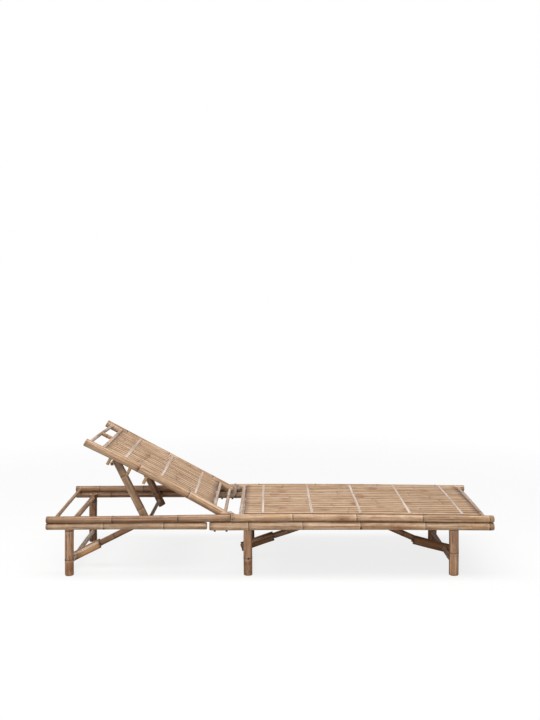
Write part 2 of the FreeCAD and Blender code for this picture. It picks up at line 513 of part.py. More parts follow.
for key, label in (("head", "head"), ("mid", "middle"), ("foot", "foot")):
    lx, ly = D[key + "_leg_x"], D[key + "_leg_y"]
    cz = D[key + "_cross_z"]
    for side, name in ((-1, "near"), (1, "far")):
        pole = cyl("leg", Vector(lx, side * ly, 0), Vector(0, 0, 1), "dims.%s_leg_rad" % key, "dims.leg_height")
        tools = [cyl("bore", Vector(lx, side * ly - 30, D["leg_pivot_z"]), Vector(0, 1, 0), "dims.leg_pivot_rad + dims.fit_tight", 60),
                 cyl("bore", Vector(lx, side * (ly - 30), cz), Vector(0, side, 0), "dims.leg_cross_rad + dims.fit_tight", 34.5),
                 cyl("end_bore", Vector(lx, side * ly, -1), Vector(0, 0, 1), "dims.%s_leg_rad * dims.leg_bore_ratio" % key, "dims.leg_bore_depth + 1")]
        node("%s_leg_%s" % (label, name), cut("leg_cut", pole, tools))
    # the pivot bar is thick between the legs and has a thinner round tenon at each end
    thick = cyl("leg_pivot", Vector(lx, -(ly + D[key + "_leg_rad"]), D["leg_pivot_z"]), Vector(0, 1, 0),
                "dims.leg_pivot_rad", "2 * (dims.%s_leg_y + dims.%s_leg_rad)" % (key, key))
    thin = cyl("leg_tenon", Vector(lx, -D["leg_tenon_end"], D["leg_pivot_z"]), Vector(0, 1, 0),
               "dims.leg_tenon_rad", "2 * dims.leg_tenon_end")
    node(label + "_leg_pivot_bar", fuse("leg_pivot_bar", [thick, thin]))
    node(label + "_leg_crossbar", cyl("leg_cross", Vector(lx, -(ly + 4), cz), Vector(0, 1, 0),
                                      "dims.leg_cross_rad", "2 * (dims.%s_leg_y + 4)" % key))

# ---------------------------------------------------------------- folding braces


def link_cheek(stem, key, y_low):
    """One split half of the lower brace link: round ends, a hole for the leg's
    cross bar at the origin and one for the knee pin."""
    h, tail, reach, q = D["link_half"], D["link_tail"], D[key + "_link"] + D[key + "_link_over"], D["link_corner"]
    body = doc.addObject("PartDesign::Body", unique(stem))
    plane = [f for f in body.Origin.OriginFeatures if f.Role == "XZ_Plane"][0]
    sk = body.newObject("Sketcher::SketchObject", unique(stem + "_sketch"))
    sk.AttachmentSupport = [(plane, "")]
    sk.MapMode = "FlatFace"
    C = Sketcher.Constraint
    corners = [(-tail, -h), (reach, -h), (reach, h), (-tail, h)]
    sides = []
    for i in range(4):
        p, r = corners[i], corners[(i + 1) % 4]
        sides.append(sk.addGeometry(Part.LineSegment(Vector(p[0], p[1], 0), Vector(r[0], r[1], 0)), False))
    for i in range(4):
        sk.addConstraint(C("Coincident", sides[i], 2, sides[(i + 1) % 4], 1))
    for i in (0, 2):
        sk.addConstraint(C("Horizontal", sides[i]))
    for i in (1, 3):
        sk.addConstraint(C("Vertical", sides[i]))
    for name, kind, first, at, value, expr in (
            ("low", "DistanceY", sides[0], 1, h, "dims.link_half"),
            ("tail", "DistanceX", sides[0], 1, tail, "dims.link_tail")):
        c = sk.addConstraint(C(kind, first, at, -1, 1, value))
        sk.renameConstraint(c, name)
        sk.setExpression("Constraints." + name, expr)
    for name, kind, first, at, value, expr in (
            ("high", "DistanceY", sides[2], 1, h, "dims.link_half"),
            ("reach", "DistanceX", sides[1], 1, reach, "dims.%s_link + dims.%s_link_over" % (key, key))):
        c = sk.addConstraint(C(kind, -1, 1, first, at, value))
        sk.renameConstraint(c, name)
        sk.setExpression("Constraints." + name, expr)
    g = sk.addGeometry(Part.Circle(Vector(0, 0, 0), Vector(0, 0, 1), D["leg_cross_rad"] + D["fit_run"]), False)
    sk.addConstraint(C("Coincident", g, 3, -1, 1))
    c = sk.addConstraint(C("Radius", g, D["leg_cross_rad"] + D["fit_run"]))
    sk.renameConstraint(c, "bar_hole")
    sk.setExpression("Constraints.bar_hole", "dims.leg_cross_rad + dims.fit_run")
    g = sk.addGeometry(Part.Circle(Vector(D[key + "_link"], 0, 0), Vector(0, 0, 1), D["knee_pin_rad"] + D["fit_tight"]), False)
    sk.addConstraint(C("PointOnObject", g, 3, -1))
    c = sk.addConstraint(C("DistanceX", -1, 1, g, 3, D[key + "_link"]))
    sk.renameConstraint(c, "knee_at")
    sk.setExpression("Constraints.knee_at", "dims.%s_link" % key)
    c = sk.addConstraint(C("Radius", g, D["knee_pin_rad"] + D["fit_tight"]))
    sk.renameConstraint(c, "knee_hole")
    sk.setExpression("Constraints.knee_hole", "dims.knee_pin_rad + dims.fit_tight")
    pad = body.newObject("PartDesign::Pad", unique(stem + "_pad"))
    pad.Profile = sk
    pad.setExpression("Length", "dims.link_thick")
    pad.Reversed = True
    doc.recompute()
    edges = []
    for i, e in enumerate(pad.Shape.Edges, start=1):
        a, b = e.Vertexes[0].Point, e.Vertexes[-1].Point
        if e.Curve.TypeId == "Part::GeomLine" and abs(a.y - b.y) > 1 and abs(abs(a.z) - h) < 0.01:
            edges.append("Edge%d" % i)
    soft = body.newObject("PartDesign::Fillet", unique(stem + "_corners"))
    soft.Base = (pad, edges)
    soft.setExpression("Radius", "dims.link_corner")
    body.Tip = soft
    body.Placement = Placement(Vector(0, y_low, 0), Rotation())
    return body


for key, label, toward in (("head", "head", 1), ("mid", "middle", 1), ("foot", "foot", -1)):
    C0 = Vector(D[key + "_leg_x"], D[key + "_brace_y"], D[key + "_cross_z"])
    if key == "head":
        F0 = Vector(D["prop_pivot_x"], D[key + "_brace_y"], D["prop_pivot_z"])
        eye = "prop_pivot_rad"
    else:
        F0 = Vector(D["anchor_x"], D[key + "_brace_y"], D["anchor_z"])
        eye = "anchor_bar_rad"
    a = math.radians(D[key + "_link_angle"])
    LU = Vector(toward * math.cos(a), 0, math.sin(a))
    K0 = C0.add(Vector(LU).multiply(D[key + "_link"]))
    # local X runs up the link; local Z stays upward
    rot = Rotation(LU, Vector(0, 0, 0), Vector(-toward * math.sin(a) * toward * toward, 0, math.cos(a)), "XZY") if toward > 0 else \
        Rotation(LU, Vector(0, 0, 0), Vector(math.sin(a), 0, math.cos(a)), "XZY")
    cheeks = []
    for y_low in (D["link_inner"], -D["link_inner"] - D["link_thick"]):
        c = link_cheek("link_cheek", key, 0)
        c.Placement = Placement(C0, rot).multiply(Placement(Vector(0, y_low, 0), Rotation()))
        cheeks.append(c)
    node("%s_brace_link" % label, group("brace_link", cheeks))
    plugs = []
    for s in (-1, 1):
        plugs.append(cyl("knee_plug", K0.add(Vector(0, s * (D["link_inner"] + 0.2), 0)), Vector(0, s, 0), "dims.knee_pin_rad", "dims.link_thick + 1.8"))
    node("%s_knee_pins" % label, group("knee_pins", plugs))
    RU = F0.sub(K0).normalize()
    start = K0.sub(Vector(RU).multiply(D["brace_nose"]))
    total = F0.sub(K0).Length + D["brace_nose"] + D["brace_eye"]
    rod = cyl("brace_rod", start, RU, "dims.brace_rod_rad", total)
    bore = cyl("bore", F0.sub(Vector(0, 25, 0)), Vector(0, 1, 0), "dims.%s + dims.fit_run" % eye, 50)
    node("%s_brace_rod" % label, cut("brace_rod_cut", rod, [bore]))

# ----------------------------------------------------------------- check, write

doc.recompute()
bad = []
for o in doc.Objects:
    if "Invalid" in o.State or "Error" in o.State:
        bad.append("%s %s" % (o.Name, o.State))
for label, o in NODES:
    s = o.Shape
    if s.isNull() or not s.isValid() or not s.Solids:
        bad.append("%s has no valid solid" % label)
if len(set(label for label, _ in NODES)) != len(NODES):
    bad.append("a label is used twice")
if bad:
    raise RuntimeError("; ".join(bad))

os.makedirs("parts", exist_ok=True)
for old in os.listdir("parts"):
    if old.endswith(".step"):
        os.remove(os.path.join("parts", old))
for label, o in NODES:
    o.Shape.exportStep("parts/%s.step" % label)
box_all = FreeCAD.BoundBox()
for label, o in NODES:
    box_all.add(o.Shape.BoundBox)
print(len(NODES), "nodes", box_all)
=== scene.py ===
import bpy
import math
import random
import numpy as np
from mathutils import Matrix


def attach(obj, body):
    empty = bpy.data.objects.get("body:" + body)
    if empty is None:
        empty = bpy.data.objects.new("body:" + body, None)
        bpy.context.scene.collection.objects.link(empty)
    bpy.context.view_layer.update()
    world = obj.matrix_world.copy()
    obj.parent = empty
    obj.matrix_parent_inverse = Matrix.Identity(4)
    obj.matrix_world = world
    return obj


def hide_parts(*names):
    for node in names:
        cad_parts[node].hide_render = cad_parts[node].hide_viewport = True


# Bamboo folding recliner: detailed pieces over the CAD frame. Lengths in this
# script are millimetres until a mesh is written, which is in metres.

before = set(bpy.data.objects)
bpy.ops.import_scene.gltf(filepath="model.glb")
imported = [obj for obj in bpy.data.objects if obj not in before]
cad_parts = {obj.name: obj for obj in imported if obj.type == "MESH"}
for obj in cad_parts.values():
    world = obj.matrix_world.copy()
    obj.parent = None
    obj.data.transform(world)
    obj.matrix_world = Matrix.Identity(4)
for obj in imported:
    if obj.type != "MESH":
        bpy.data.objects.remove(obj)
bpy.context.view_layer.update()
scene = bpy.context.scene

MM = 0.001
PI = math.pi


def V(*a):
    return np.array(a, float)


def unit(v):
    v = np.asarray(v, float)
    return v / np.linalg.norm(v)


def srgb(r, g, b):
    def f(c):
        c = c / 255.0
        return c / 12.92 if c <= 0.04045 else ((c + 0.055) / 1.055) ** 2.4
    return (f(r), f(g), f(b), 1.0)


# ------------------------------------------------------------------ materials

class Graph:
    def __init__(self, name):
        self.mat = bpy.data.materials.new(name)
        self.mat.use_nodes = True
        self.t = self.mat.node_tree
        self.t.nodes.clear()
        self.out = self.t.nodes.new("ShaderNodeOutputMaterial")
        self.p = self.t.nodes.new("ShaderNodeBsdfPrincipled")
        self.t.links.new(self.p.outputs[0], self.out.inputs[0])

    def put(self, socket, value):
        if isinstance(value, bpy.types.NodeSocket):
            self.t.links.new(value, socket)
        elif value is not None:
            socket.default_value = value

    def attr(self, name, vector=False):
        n = self.t.nodes.new("ShaderNodeAttribute")
        n.attribute_name = name
        return n.outputs["Vector" if vector else "Fac"]

    def math(self, op, a, b=None, c=None, clamp=False):
        n = self.t.nodes.new("ShaderNodeMath")
        n.operation = op
        n.use_clamp = clamp
        self.put(n.inputs[0], a)
        self.put(n.inputs[1], b)
        self.put(n.inputs[2], c)
        return n.outputs[0]

    def vmul(self, v, k):
        n = self.t.nodes.new("ShaderNodeVectorMath")
        n.operation = "MULTIPLY"
        self.put(n.inputs[0], v)
        self.put(n.inputs[1], k)
        return n.outputs[0]

    def noise(self, v, detail=2.0, rough=0.5, distort=0.0):
        n = self.t.nodes.new("ShaderNodeTexNoise")
        self.put(n.inputs["Vector"], v)
        n.inputs["Scale"].default_value = 1.0
        n.inputs["Detail"].default_value = detail
        n.inputs["Roughness"].default_value = rough
        n.inputs["Distortion"].default_value = distort
        return n.outputs["Fac"]

    def voronoi(self, v):
        n = self.t.nodes.new("ShaderNodeTexVoronoi")
        self.put(n.inputs["Vector"], v)
        n.inputs["Scale"].default_value = 1.0
        return n.outputs["Distance"]

    def ramp(self, fac, stops, smooth=False):
        n = self.t.nodes.new("ShaderNodeValToRGB")
        n.color_ramp.interpolation = "EASE" if smooth else "LINEAR"
        els = n.color_ramp.elements
        while len(els) < len(stops):
            els.new(0.5)
        for e, (pos, col) in zip(els, stops):
            e.position = pos
            e.color = col if not isinstance(col, (int, float)) else (col, col, col, 1)
        self.put(n.inputs[0], fac)
        return n.outputs[0]

    def span(self, v, a, b, c=0.0, d=1.0):
        n = self.t.nodes.new("ShaderNodeMapRange")
        n.clamp = True
        for i, x in enumerate((v, a, b, c, d)):
            self.put(n.inputs[i], x)
        return n.outputs[0]

    def mix(self, fac, a, b, blend="MIX"):
        n = self.t.nodes.new("ShaderNodeMix")
        n.data_type = "RGBA"
        n.blend_type = blend
        self.put(n.inputs[0], fac)
        self.put(n.inputs[6], a)
        self.put(n.inputs[7], b)
        return n.outputs[2]

    def bump(self, height, strength, distance):
        n = self.t.nodes.new("ShaderNodeBump")
        n.inputs["Strength"].default_value = strength
        n.inputs["Distance"].default_value = distance
        self.put(n.inputs["Height"], height)
        return n.outputs[0]


def bamboo(name, lo, mid, hi, gold, rough=0.44, nodes=1.0, specks=0.6, golden=0.35, fine=1.0,
           bump=0.35, coat=0.0, edge=None, contrast=4.2, shadow=srgb(66, 36, 20), stained=srgb(140, 92, 54)):
    """Skin or split face of a culm. The attribute 'grain' is the point in the piece's own
    frame with z along the fibres, 'nd' the signed distance to the nearest node."""
    g = Graph(name)
    grain = g.attr("grain", True)
    tone, hue, nd, bud = g.attr("tone"), g.attr("hue"), g.attr("nd"), g.attr("bud")
    fibre = g.noise(g.vmul(grain, (1500 * fine, 1500 * fine, 16)), 3, 0.6)
    streak = g.noise(g.vmul(grain, (330 * fine, 330 * fine, 3.6)), 3, 0.55)
    wide = g.noise(g.vmul(grain, (95, 95, 3.0)), 2, 0.5)
    mottle = g.noise(g.vmul(grain, (70, 70, 22)), 4, 0.62, 0.4)
    blotch = g.noise(g.vmul(grain, (17, 17, 6)), 3, 0.5)
    v = g.math("MULTIPLY", streak, 0.36)
    v = g.math("MULTIPLY_ADD", wide, 0.28, v)
    v = g.math("MULTIPLY_ADD", mottle, 0.22, v)
    v = g.math("MULTIPLY_ADD", fibre, 0.14, v)
    v = g.math("MULTIPLY_ADD", g.math("SUBTRACT", v, 0.5), contrast, 0.5)
    col = g.ramp(v, [(0.18, lo), (0.5, mid), (0.82, hi)])
    col = g.mix(g.math("MULTIPLY", g.span(blotch, 0.48, 0.68), golden), col, gold)
    # dark fungus specks, drawn out along the fibres
    sp = g.noise(g.vmul(grain, (620, 620, 170)), 2, 0.5)
    sp2 = g.noise(g.vmul(grain, (26, 26, 9)), 2, 0.5)
    spk = g.math("MULTIPLY", g.span(sp, 0.66, 0.78), g.span(sp2, 0.44, 0.66))
    col = g.mix(g.math("MULTIPLY", spk, specks), col, srgb(88, 62, 44))
    # thin dark fibre lines
    ln = g.noise(g.vmul(grain, (900, 900, 7)), 1, 0.5)
    col = g.mix(g.math("MULTIPLY", g.span(ln, 0.60, 0.74), 0.42), col, srgb(104, 72, 50))
    ln2 = g.noise(g.vmul(grain, (240, 240, 5)), 2, 0.6)
    col = g.mix(g.math("MULTIPLY", g.span(ln2, 0.60, 0.70), 0.34), col, srgb(112, 76, 52))
    # nodes: a pale wax band under the scar, a dark scar line, a brown flush above it
    n01 = g.span(nd, -0.03, 0.03)
    pale = g.ramp(n01, [(0.0, 0.0), (0.30, 0.0), (0.40, 0.5), (0.47, 0.8), (0.492, 0.0), (1.0, 0.0)])
    dark = g.ramp(n01, [(0.0, 0.0), (0.475, 0.0), (0.492, 0.45), (0.503, 0.98), (0.537, 0.85), (0.565, 0.40),
                        (0.62, 0.22), (0.80, 0.08), (1.0, 0.0)])
    ragged = g.span(g.noise(g.vmul(grain, (260, 260, 120)), 3, 0.6), 0.30, 0.62, 0.35, 1.0)
    col = g.mix(g.math("MULTIPLY", g.math("MULTIPLY", pale, ragged), 0.42 * nodes, None, True), col, srgb(218, 194, 166))
    col = g.mix(g.math("MULTIPLY", g.math("MULTIPLY", dark, ragged), 0.95 * nodes, None, True), col, srgb(84, 54, 35))
    st = g.math("MULTIPLY", g.attr("stain"), g.span(g.noise(g.vmul(grain, (150, 150, 40)), 4, 0.65), 0.34, 0.56, 0.3, 1.15))
    col = g.mix(g.math("MULTIPLY", st, 0.95, None, True), col, stained)
    col = g.mix(g.span(bud, 0.12, 0.5, 0.0, 0.97), col, srgb(38, 23, 15))
    # each piece has its own tone and hue; low tones are also used as painted shade on pieces that lie in shade
    tint = g.mix(g.math("MULTIPLY_ADD", hue, 0.5, 0.5, True), (0.93, 0.97, 1.06, 1), (1.07, 1.0, 0.90, 1))
    col = g.mix(1.0, col, tint, "MULTIPLY")
    k = g.math("MULTIPLY_ADD", tone, 0.20, 1.0)
    col = g.mix(1.0, col, k, "MULTIPLY")
    # darker pieces are browner, not greyer, which keeps the painted shade of low-toned pieces warm
    col = g.mix(g.span(tone, -0.4, -2.4), col, (1.06, 0.84, 0.66, 1), "MULTIPLY")
    if edge:
        col = g.mix(g.math("MULTIPLY", g.attr("edge"), edge[0]), col, edge[1])
    sh = g.math("MULTIPLY", g.attr("shade"), g.span(mottle, 0.30, 0.60, 0.7, 1.0), None, True)
    col = g.mix(sh, col, shadow)
    g.put(g.p.inputs["Base Color"], col)
    r = g.math("MULTIPLY_ADD", mottle, 0.34, rough - 0.17)
    r = g.math("MULTIPLY_ADD", spk, 0.2, r, True)
    g.put(g.p.inputs["Roughness"], r)
    h = g.math("MULTIPLY_ADD", streak, 0.9, g.math("MULTIPLY", fibre, 0.45))
    h = g.math("MULTIPLY_ADD", spk, -0.4, h)
    g.put(g.p.inputs["Normal"], g.bump(h, bump, 0.0006))
    g.p.inputs["Coat Weight"].default_value = coat
    g.p.inputs["Coat Roughness"].default_value = 0.3
    return g.mat


def end_grain(name, face, fibre_col, rim, rough=0.8):
    g = Graph(name)
    grain = g.attr("grain", True)
    dots = g.voronoi(g.vmul(grain, (1250, 1250, 300)))
    soft = g.noise(g.vmul(grain, (240, 240, 240)), 3, 0.6)
    col = g.mix(g.span(soft, 0.35, 0.65), face, rim)
    col = g.mix(g.span(dots, 0.42, 0.12, 0.0, 0.65), col, fibre_col)
    col = g.mix(g.math("MULTIPLY", g.attr("edge"), 0.6), col, srgb(112, 78, 50))
    g.put(g.p.inputs["Base Color"], col)
    g.p.inputs["Roughness"].default_value = rough
    g.put(g.p.inputs["Normal"], g.bump(g.math("MULTIPLY", dots, 1.0), 0.5, 0.0005))
    return g.mat


def hollow(name, a, b):
    g = Graph(name)
    grain = g.attr("grain", True)
    n = g.noise(g.vmul(grain, (420, 420, 30)), 3, 0.6)
    g.put(g.p.inputs["Base Color"], g.mix(g.span(n, 0.3, 0.7), a, b))
    g.p.inputs["Roughness"].default_value = 0.85
    g.put(g.p.inputs["Normal"], g.bump(n, 0.4, 0.0006))
    return g.mat


POLE = bamboo("pole_culm", srgb(136, 101, 71), srgb(180, 146, 112), srgb(212, 184, 154), srgb(182, 138, 88),
              rough=0.40, coat=0.16, nodes=1.25)
LEG = bamboo("leg_culm", srgb(120, 86, 60), srgb(182, 144, 112), srgb(214, 180, 150), srgb(170, 124, 82),
             rough=0.46, nodes=1.1, specks=0.9, coat=0.08, contrast=3.8)
SLAT = bamboo("split_slat", srgb(148, 112, 82), srgb(196, 165, 134), srgb(222, 196, 168), srgb(192, 148, 102),
              rough=0.5, nodes=0.5, specks=0.45, golden=0.40, fine=1.15, bump=0.45,
              edge=(1.0, srgb(74, 46, 30)), stained=srgb(146, 92, 50))
GREY = bamboo("grey_bar", srgb(148, 122, 102), srgb(196, 172, 152), srgb(224, 206, 190), srgb(184, 148, 112),
              rough=0.5, nodes=0.9, specks=0.6, golden=0.25)
GOLD = bamboo("golden_peg", srgb(132, 96, 60), srgb(182, 144, 102), srgb(210, 176, 132), srgb(182, 134, 80),
              rough=0.55, nodes=0.8, specks=0.5, golden=0.5)
INNER = bamboo("split_culm", srgb(136, 96, 60), srgb(182, 140, 96), srgb(210, 172, 128), srgb(186, 134, 80),
               rough=0.62, nodes=0.6, specks=0.3, golden=0.5, bump=0.6, edge=(0.7, srgb(92, 62, 42)))
PALE = bamboo("pale_binding", srgb(178, 156, 140), srgb(208, 189, 174), srgb(228, 214, 202), srgb(208, 184, 160),
              rough=0.62, nodes=0.0, specks=0.4, golden=0.15, fine=1.4, edge=(0.6, srgb(140, 116, 96)))
DARKPEG = bamboo("dark_peg", srgb(64, 42, 28), srgb(92, 62, 42), srgb(120, 84, 58), srgb(100, 66, 38),
                 rough=0.6, nodes=0.0, specks=0.3)
CUT = end_grain("culm_end_grain", srgb(206, 176, 138), srgb(138, 98, 62), srgb(186, 152, 112))
PEGCUT = end_grain("peg_end_grain", srgb(126, 92, 62), srgb(78, 52, 34), srgb(108, 76, 50))
DARKCUT = end_grain("dark_end_grain", srgb(84, 60, 44), srgb(48, 32, 24), srgb(66, 46, 34))
# painted shade: the inner wall of a culm is pale tan, but the hollow is coloured dark brown for the shade inside it
INSIDE = hollow("culm_inside", srgb(70, 46, 30), srgb(104, 74, 50))


def nail_metal():
    g = Graph("nail_head")
    n = g.noise(g.vmul(g.attr("grain", True), (900, 900, 900)), 3, 0.6)
    g.put(g.p.inputs["Base Color"], g.mix(n, srgb(70, 60, 54), srgb(112, 96, 84)))
    g.p.inputs["Metallic"].default_value = 0.6
    g.p.inputs["Roughness"].default_value = 0.55
    return g.mat


NAIL = nail_metal()

# --------------------------------------------------------------------- meshes


class Shape:
    """Collects rings, grids and solids into one mesh with the attributes the materials read."""

    def __init__(self, *mats):
        self.mats = list(mats)
        self.v, self.q, self.t, self.qm, self.tm = [], [], [], [], []
        self.at = {k: [] for k in ("nd", "bud", "tone", "hue", "edge", "shade", "stain")}
        self.gr = []
        self.n = 0

    def slot_of(self, mat):
        if mat not in self.mats:
            self.mats.append(mat)
        return self.mats.index(mat)

    def add(self, pts, quads, qmat, tris=None, tmat=None, grain=None, **at):
        pts = np.asarray(pts, float).reshape(-1, 3)
        k = len(pts)
        self.v.append(pts)
        self.gr.append(np.asarray(grain if grain is not None else pts, float).reshape(-1, 3))
        for key in self.at:
            a = at.get(key, 1.0 if key == "nd" else 0.0)
            self.at[key].append(np.broadcast_to(np.asarray(a, float), (k,)).copy() if np.ndim(a) == 0 else np.asarray(a, float).reshape(k))
        if quads is not None and len(quads):
            self.q.append(np.asarray(quads, np.int64) + self.n)
            self.qm.append(np.broadcast_to(np.asarray(qmat), (len(quads),)).copy())
        if tris is not None and len(tris):
            self.t.append(np.asarray(tris, np.int64) + self.n)
            self.tm.append(np.broadcast_to(np.asarray(tmat), (len(tris),)).copy())
        self.n += k

    def object(self, name, body, slot, *nodes, sharp=38, camber=None, bevel=None):
        v = np.concatenate(self.v)
        if camber is not None:
            v = camber(v)
        me = bpy.data.meshes.new(name)
        q = np.concatenate(self.q) if self.q else np.zeros((0, 4), np.int64)
        t = np.concatenate(self.t) if self.t else np.zeros((0, 3), np.int64)
        qm = np.concatenate(self.qm) if self.qm else np.zeros(0, int)
        tm = np.concatenate(self.tm) if self.tm else np.zeros(0, int)
        me.vertices.add(len(v))
        me.vertices.foreach_set("co", (v * MM).astype(np.float32).ravel())
        me.loops.add(q.size + t.size)
        me.loops.foreach_set("vertex_index", np.concatenate([q.ravel(), t.ravel()]).astype(np.int32))
        me.polygons.add(len(q) + len(t))
        starts = np.concatenate([np.arange(len(q)) * 4, q.size + np.arange(len(t)) * 3]).astype(np.int32)
        me.polygons.foreach_set("loop_start", starts)
        me.polygons.foreach_set("material_index", np.concatenate([qm, tm]).astype(np.int32))
        me.polygons.foreach_set("use_smooth", np.ones(len(q) + len(t), bool))
        me.update(calc_edges=True)
        me.validate(clean_customdata=False)
        for m in self.mats:
            me.materials.append(m)
        for key, parts in self.at.items():
            a = me.attributes.new(key, "FLOAT", "POINT")
            a.data.foreach_set("value", np.concatenate(parts).astype(np.float32))
        a = me.attributes.new("grain", "FLOAT_VECTOR", "POINT")
        a.data.foreach_set("vector", (np.concatenate(self.gr) * MM).astype(np.float32).ravel())
        me.set_sharp_from_angle(angle=math.radians(sharp))
        o = bpy.data.objects.new(name, me)
        scene.collection.objects.link(o)
        if bevel:
            b = o.modifiers.new("soft_edges", "BEVEL")
            b.width = bevel * MM
            b.segments = 2
            b.limit_method = "ANGLE"
            b.angle_limit = math.radians(40)
        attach(o, body)
        if nodes:
            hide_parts(*nodes)
        return o


def axes_of(u):
    """Angle 0 of a culm faces the near side, or up on a bar that runs across."""
    u = unit(u)
    ref = V(0, -1, 0) if abs(u[1]) < 0.9 else V(0, 0, 1)
    e1 = unit(ref - u * ref.dot(u))
    return u, e1, np.cross(u, e1)


def spread(rng, length, pitch, first=None):
    """Node places along a culm that nothing fixes."""
    out, s = [], (first if first is not None else rng.uniform(0.25, 0.75) * pitch)
    while s < length - 18:
        out.append((s, rng.uniform(0, 360) if rng.random() < 0.5 else None, rng.uniform(0.7, 1.1)))
        s += pitch * rng.uniform(0.85, 1.18)
    return out


def culm(S, a, b, ra, rb, nodes=(), seed=1, seg=30, end_a="hollow", end_b="hollow", bend=None, tone=0.0, hue=0.0,
         skin=None, cut=None, fill=0.968, depth=34.0, wall=0.64, clip=(), marks=(), step=15.0, line=None, grow=1,
         chamfer=2.0, oval=0.012, flare=1.0, shade_bands=(), shade_spans=(), stains=(),
         over=0.25, patchy=0.35):
    """One culm from a to b: taper, a slight bow and oval section, node scars with ridges and
    buds, sawn ends with a wall and a hollow."""
    rng = random.Random(seed * 7919 + 13)
    a, b = V(*a), V(*b)
    L = float(np.linalg.norm(b - a))
    u, e1, e2 = axes_of(b - a)
    skin = S.slot_of(skin or POLE)
    cut = S.slot_of(cut or CUT)
    inside = S.slot_of(INSIDE)
    off = [-26, -17, -11, -7, -4.5, -2.8, -1.6, -0.8, -0.3, 0.15, 0.6, 1.1, 1.7, 2.4, 3.2, 4.2, 5.4, 7, 9.5, 13, 19, 28]
    st = list(np.arange(8, L - 7, step))
    for nd in nodes:
        st = [s for s in st if abs(s - nd[0]) > 30 or nd[0] < 0]
        st += [nd[0] + o * grow for o in off]
    for s, _, size, _ in marks:
        st += [s + k * size for k in (-1.2, -0.6, 0, 0.6, 1.2)]
    for s0, s1, _ in shade_spans:
        st += [q + k for q in (s0, s1) for k in (-9, -4, 0, 4, 9)]
    for _, s0, s1, _ in clip:
        st += list(np.linspace(s0, s1, 9))
    st = sorted(s for s in st if 4.2 < s < L - 4.2)
    keep = []
    for s in st:
        if not keep or s - keep[-1] > 0.25:
            keep.append(s)
    st = keep
    r_at = lambda s: (ra + (rb - ra) * s / L) * fill
    rows = []  # (s, radius, material of the band that follows, 1 if skin)

    def end_rows(kind, at_a):
        r = r_at(0 if at_a else L)
        c = min(chamfer, r * 0.25)
        if kind == "hollow":
            ri = r * wall
            rw = [(depth, 0.0, inside, 0), (depth, ri * 0.5, inside, 0), (depth - 1.5, ri * 0.95, inside, 0), (depth * 0.5, ri, inside, 0),
                  (1.6, ri, inside, 0), (0.5, ri + 0.25, cut, 0), (0.0, ri + 0.8, cut, 0), (0.0, (ri + r) / 2, cut, 0),
                  (0.0, r - c, cut, 0), (c * 0.25, r - c * 0.42, cut, 0), (c * 0.8, r - c * 0.12, skin, 0), (c * 1.8, r, skin, 1)]
        else:
            rw = [(0.0, 0.0, cut, 0), (0.0, r * 0.45, cut, 0), (0.0, r - c, cut, 0), (c * 0.25, r - c * 0.42, cut, 0),
                  (c * 0.8, r - c * 0.12, skin, 0), (c * 1.8, r, skin, 1)]
        return rw

    first = end_rows(end_a, True)
    last = end_rows(end_b, False)
    rows += first
    rows += [(s, r_at(s), skin, 1) for s in st]
    back = [(L - s, r, m, k) for s, r, m, k in reversed(last)]
    # on the way in, a band belongs to the row it ends at
    for i, (s, r, m, k) in enumerate(back):
        m2 = back[i + 1][2] if i + 1 < len(back) else m
        rows.append((s, r, m2, k))
    s_ = np.array([q[0] for q in rows])
    r_ = np.array([q[1] for q in rows])
    m_ = np.array([q[2] for q in rows])
    o_ = np.array([q[3] for q in rows])
    th = np.arange(seg) * 2 * PI / seg
    TH, SS = np.meshgrid(th, s_)
    R = np.repeat(r_[:, None], seg, 1)
    outer = np.repeat(o_[:, None], seg, 1).astype(float)
    ph = [rng.uniform(0, 2 * PI) for _ in range(9)]
    R = R * (1 + oval * np.cos(2 * (TH - ph[0])))
    R = R * (1 + outer * (0.005 * np.sin(SS / 83 + ph[1] + TH) + 0.004 * np.sin(SS / 41 + ph[2] - 2 * TH) + 0.003 * np.sin(SS / 23 + ph[3] + 3 * TH)))
    ND = np.full(R.shape, 1000.0)
    BUD = np.zeros(R.shape)
    cad = (ra + (rb - ra) * SS / L)
    for j, (sn, ang, amp) in enumerate(nodes):
        wob = 0.7 * np.sin(TH + ph[4] + j) + 0.35 * np.sin(2 * TH + ph[5] + 2 * j)
        d = (SS - sn - wob) * grow
        R = R + outer * amp * (0.42 * np.exp(-(d / 0.75) ** 2) - 0.40 * np.exp(-((d - 1.9) / 0.8) ** 2) + 0.62 * np.exp(-((d - 4.6) / 2.4) ** 2))
        R = R + outer * flare * 0.014 * r_[:, None] * np.exp(-(d / 15) ** 2)
        if ang is not None:
            da = np.angle(np.exp(1j * (TH - math.radians(ang)))) * np.maximum(R, 1)
            w = max(3.0, 0.21 * r_.max())
            hill = np.exp(-((d - 2.4) / (w * 1.05)) ** 2 - (da / (w * 1.1)) ** 2)
            R = R + outer * hill * 0.9 * amp
            # the shallow groove that runs up from a bud
            R = R - outer * 0.35 * np.exp(-(da / (1.6 * w)) ** 2) * np.exp(-np.clip(d - 8, 0, None) / 60) * (d > 6)
            BUD = np.maximum(BUD, hill * (0.75 + 0.35 * amp) * outer)
        closer = np.abs(d) < np.abs(ND)
        ND = np.where(closer, d, ND)
    for s, ang, size, deep in marks:
        da = np.angle(np.exp(1j * (TH - math.radians(ang)))) * np.maximum(R, 1)
        hill = np.exp(-((SS - s) / size) ** 2 - (da / size) ** 2)
        BUD = np.maximum(BUD, hill * outer)
        R = R - outer * hill * deep
    R = np.where(outer > 0, np.minimum(R, cad + over), R)
    cutflag = np.zeros(R.shape, bool)
    for ang, s0, s1, fn in clip:
        lim = np.array([fn(s) if s0 <= s <= s1 else 1e9 for s in s_])[:, None]
        cs = np.cos(TH - math.radians(ang))
        lim_r = np.where(cs > 0.03, lim / np.maximum(cs, 0.03), 1e9)
        hit = lim_r < R
        R = np.where(hit, lim_r, R)
        cutflag |= hit
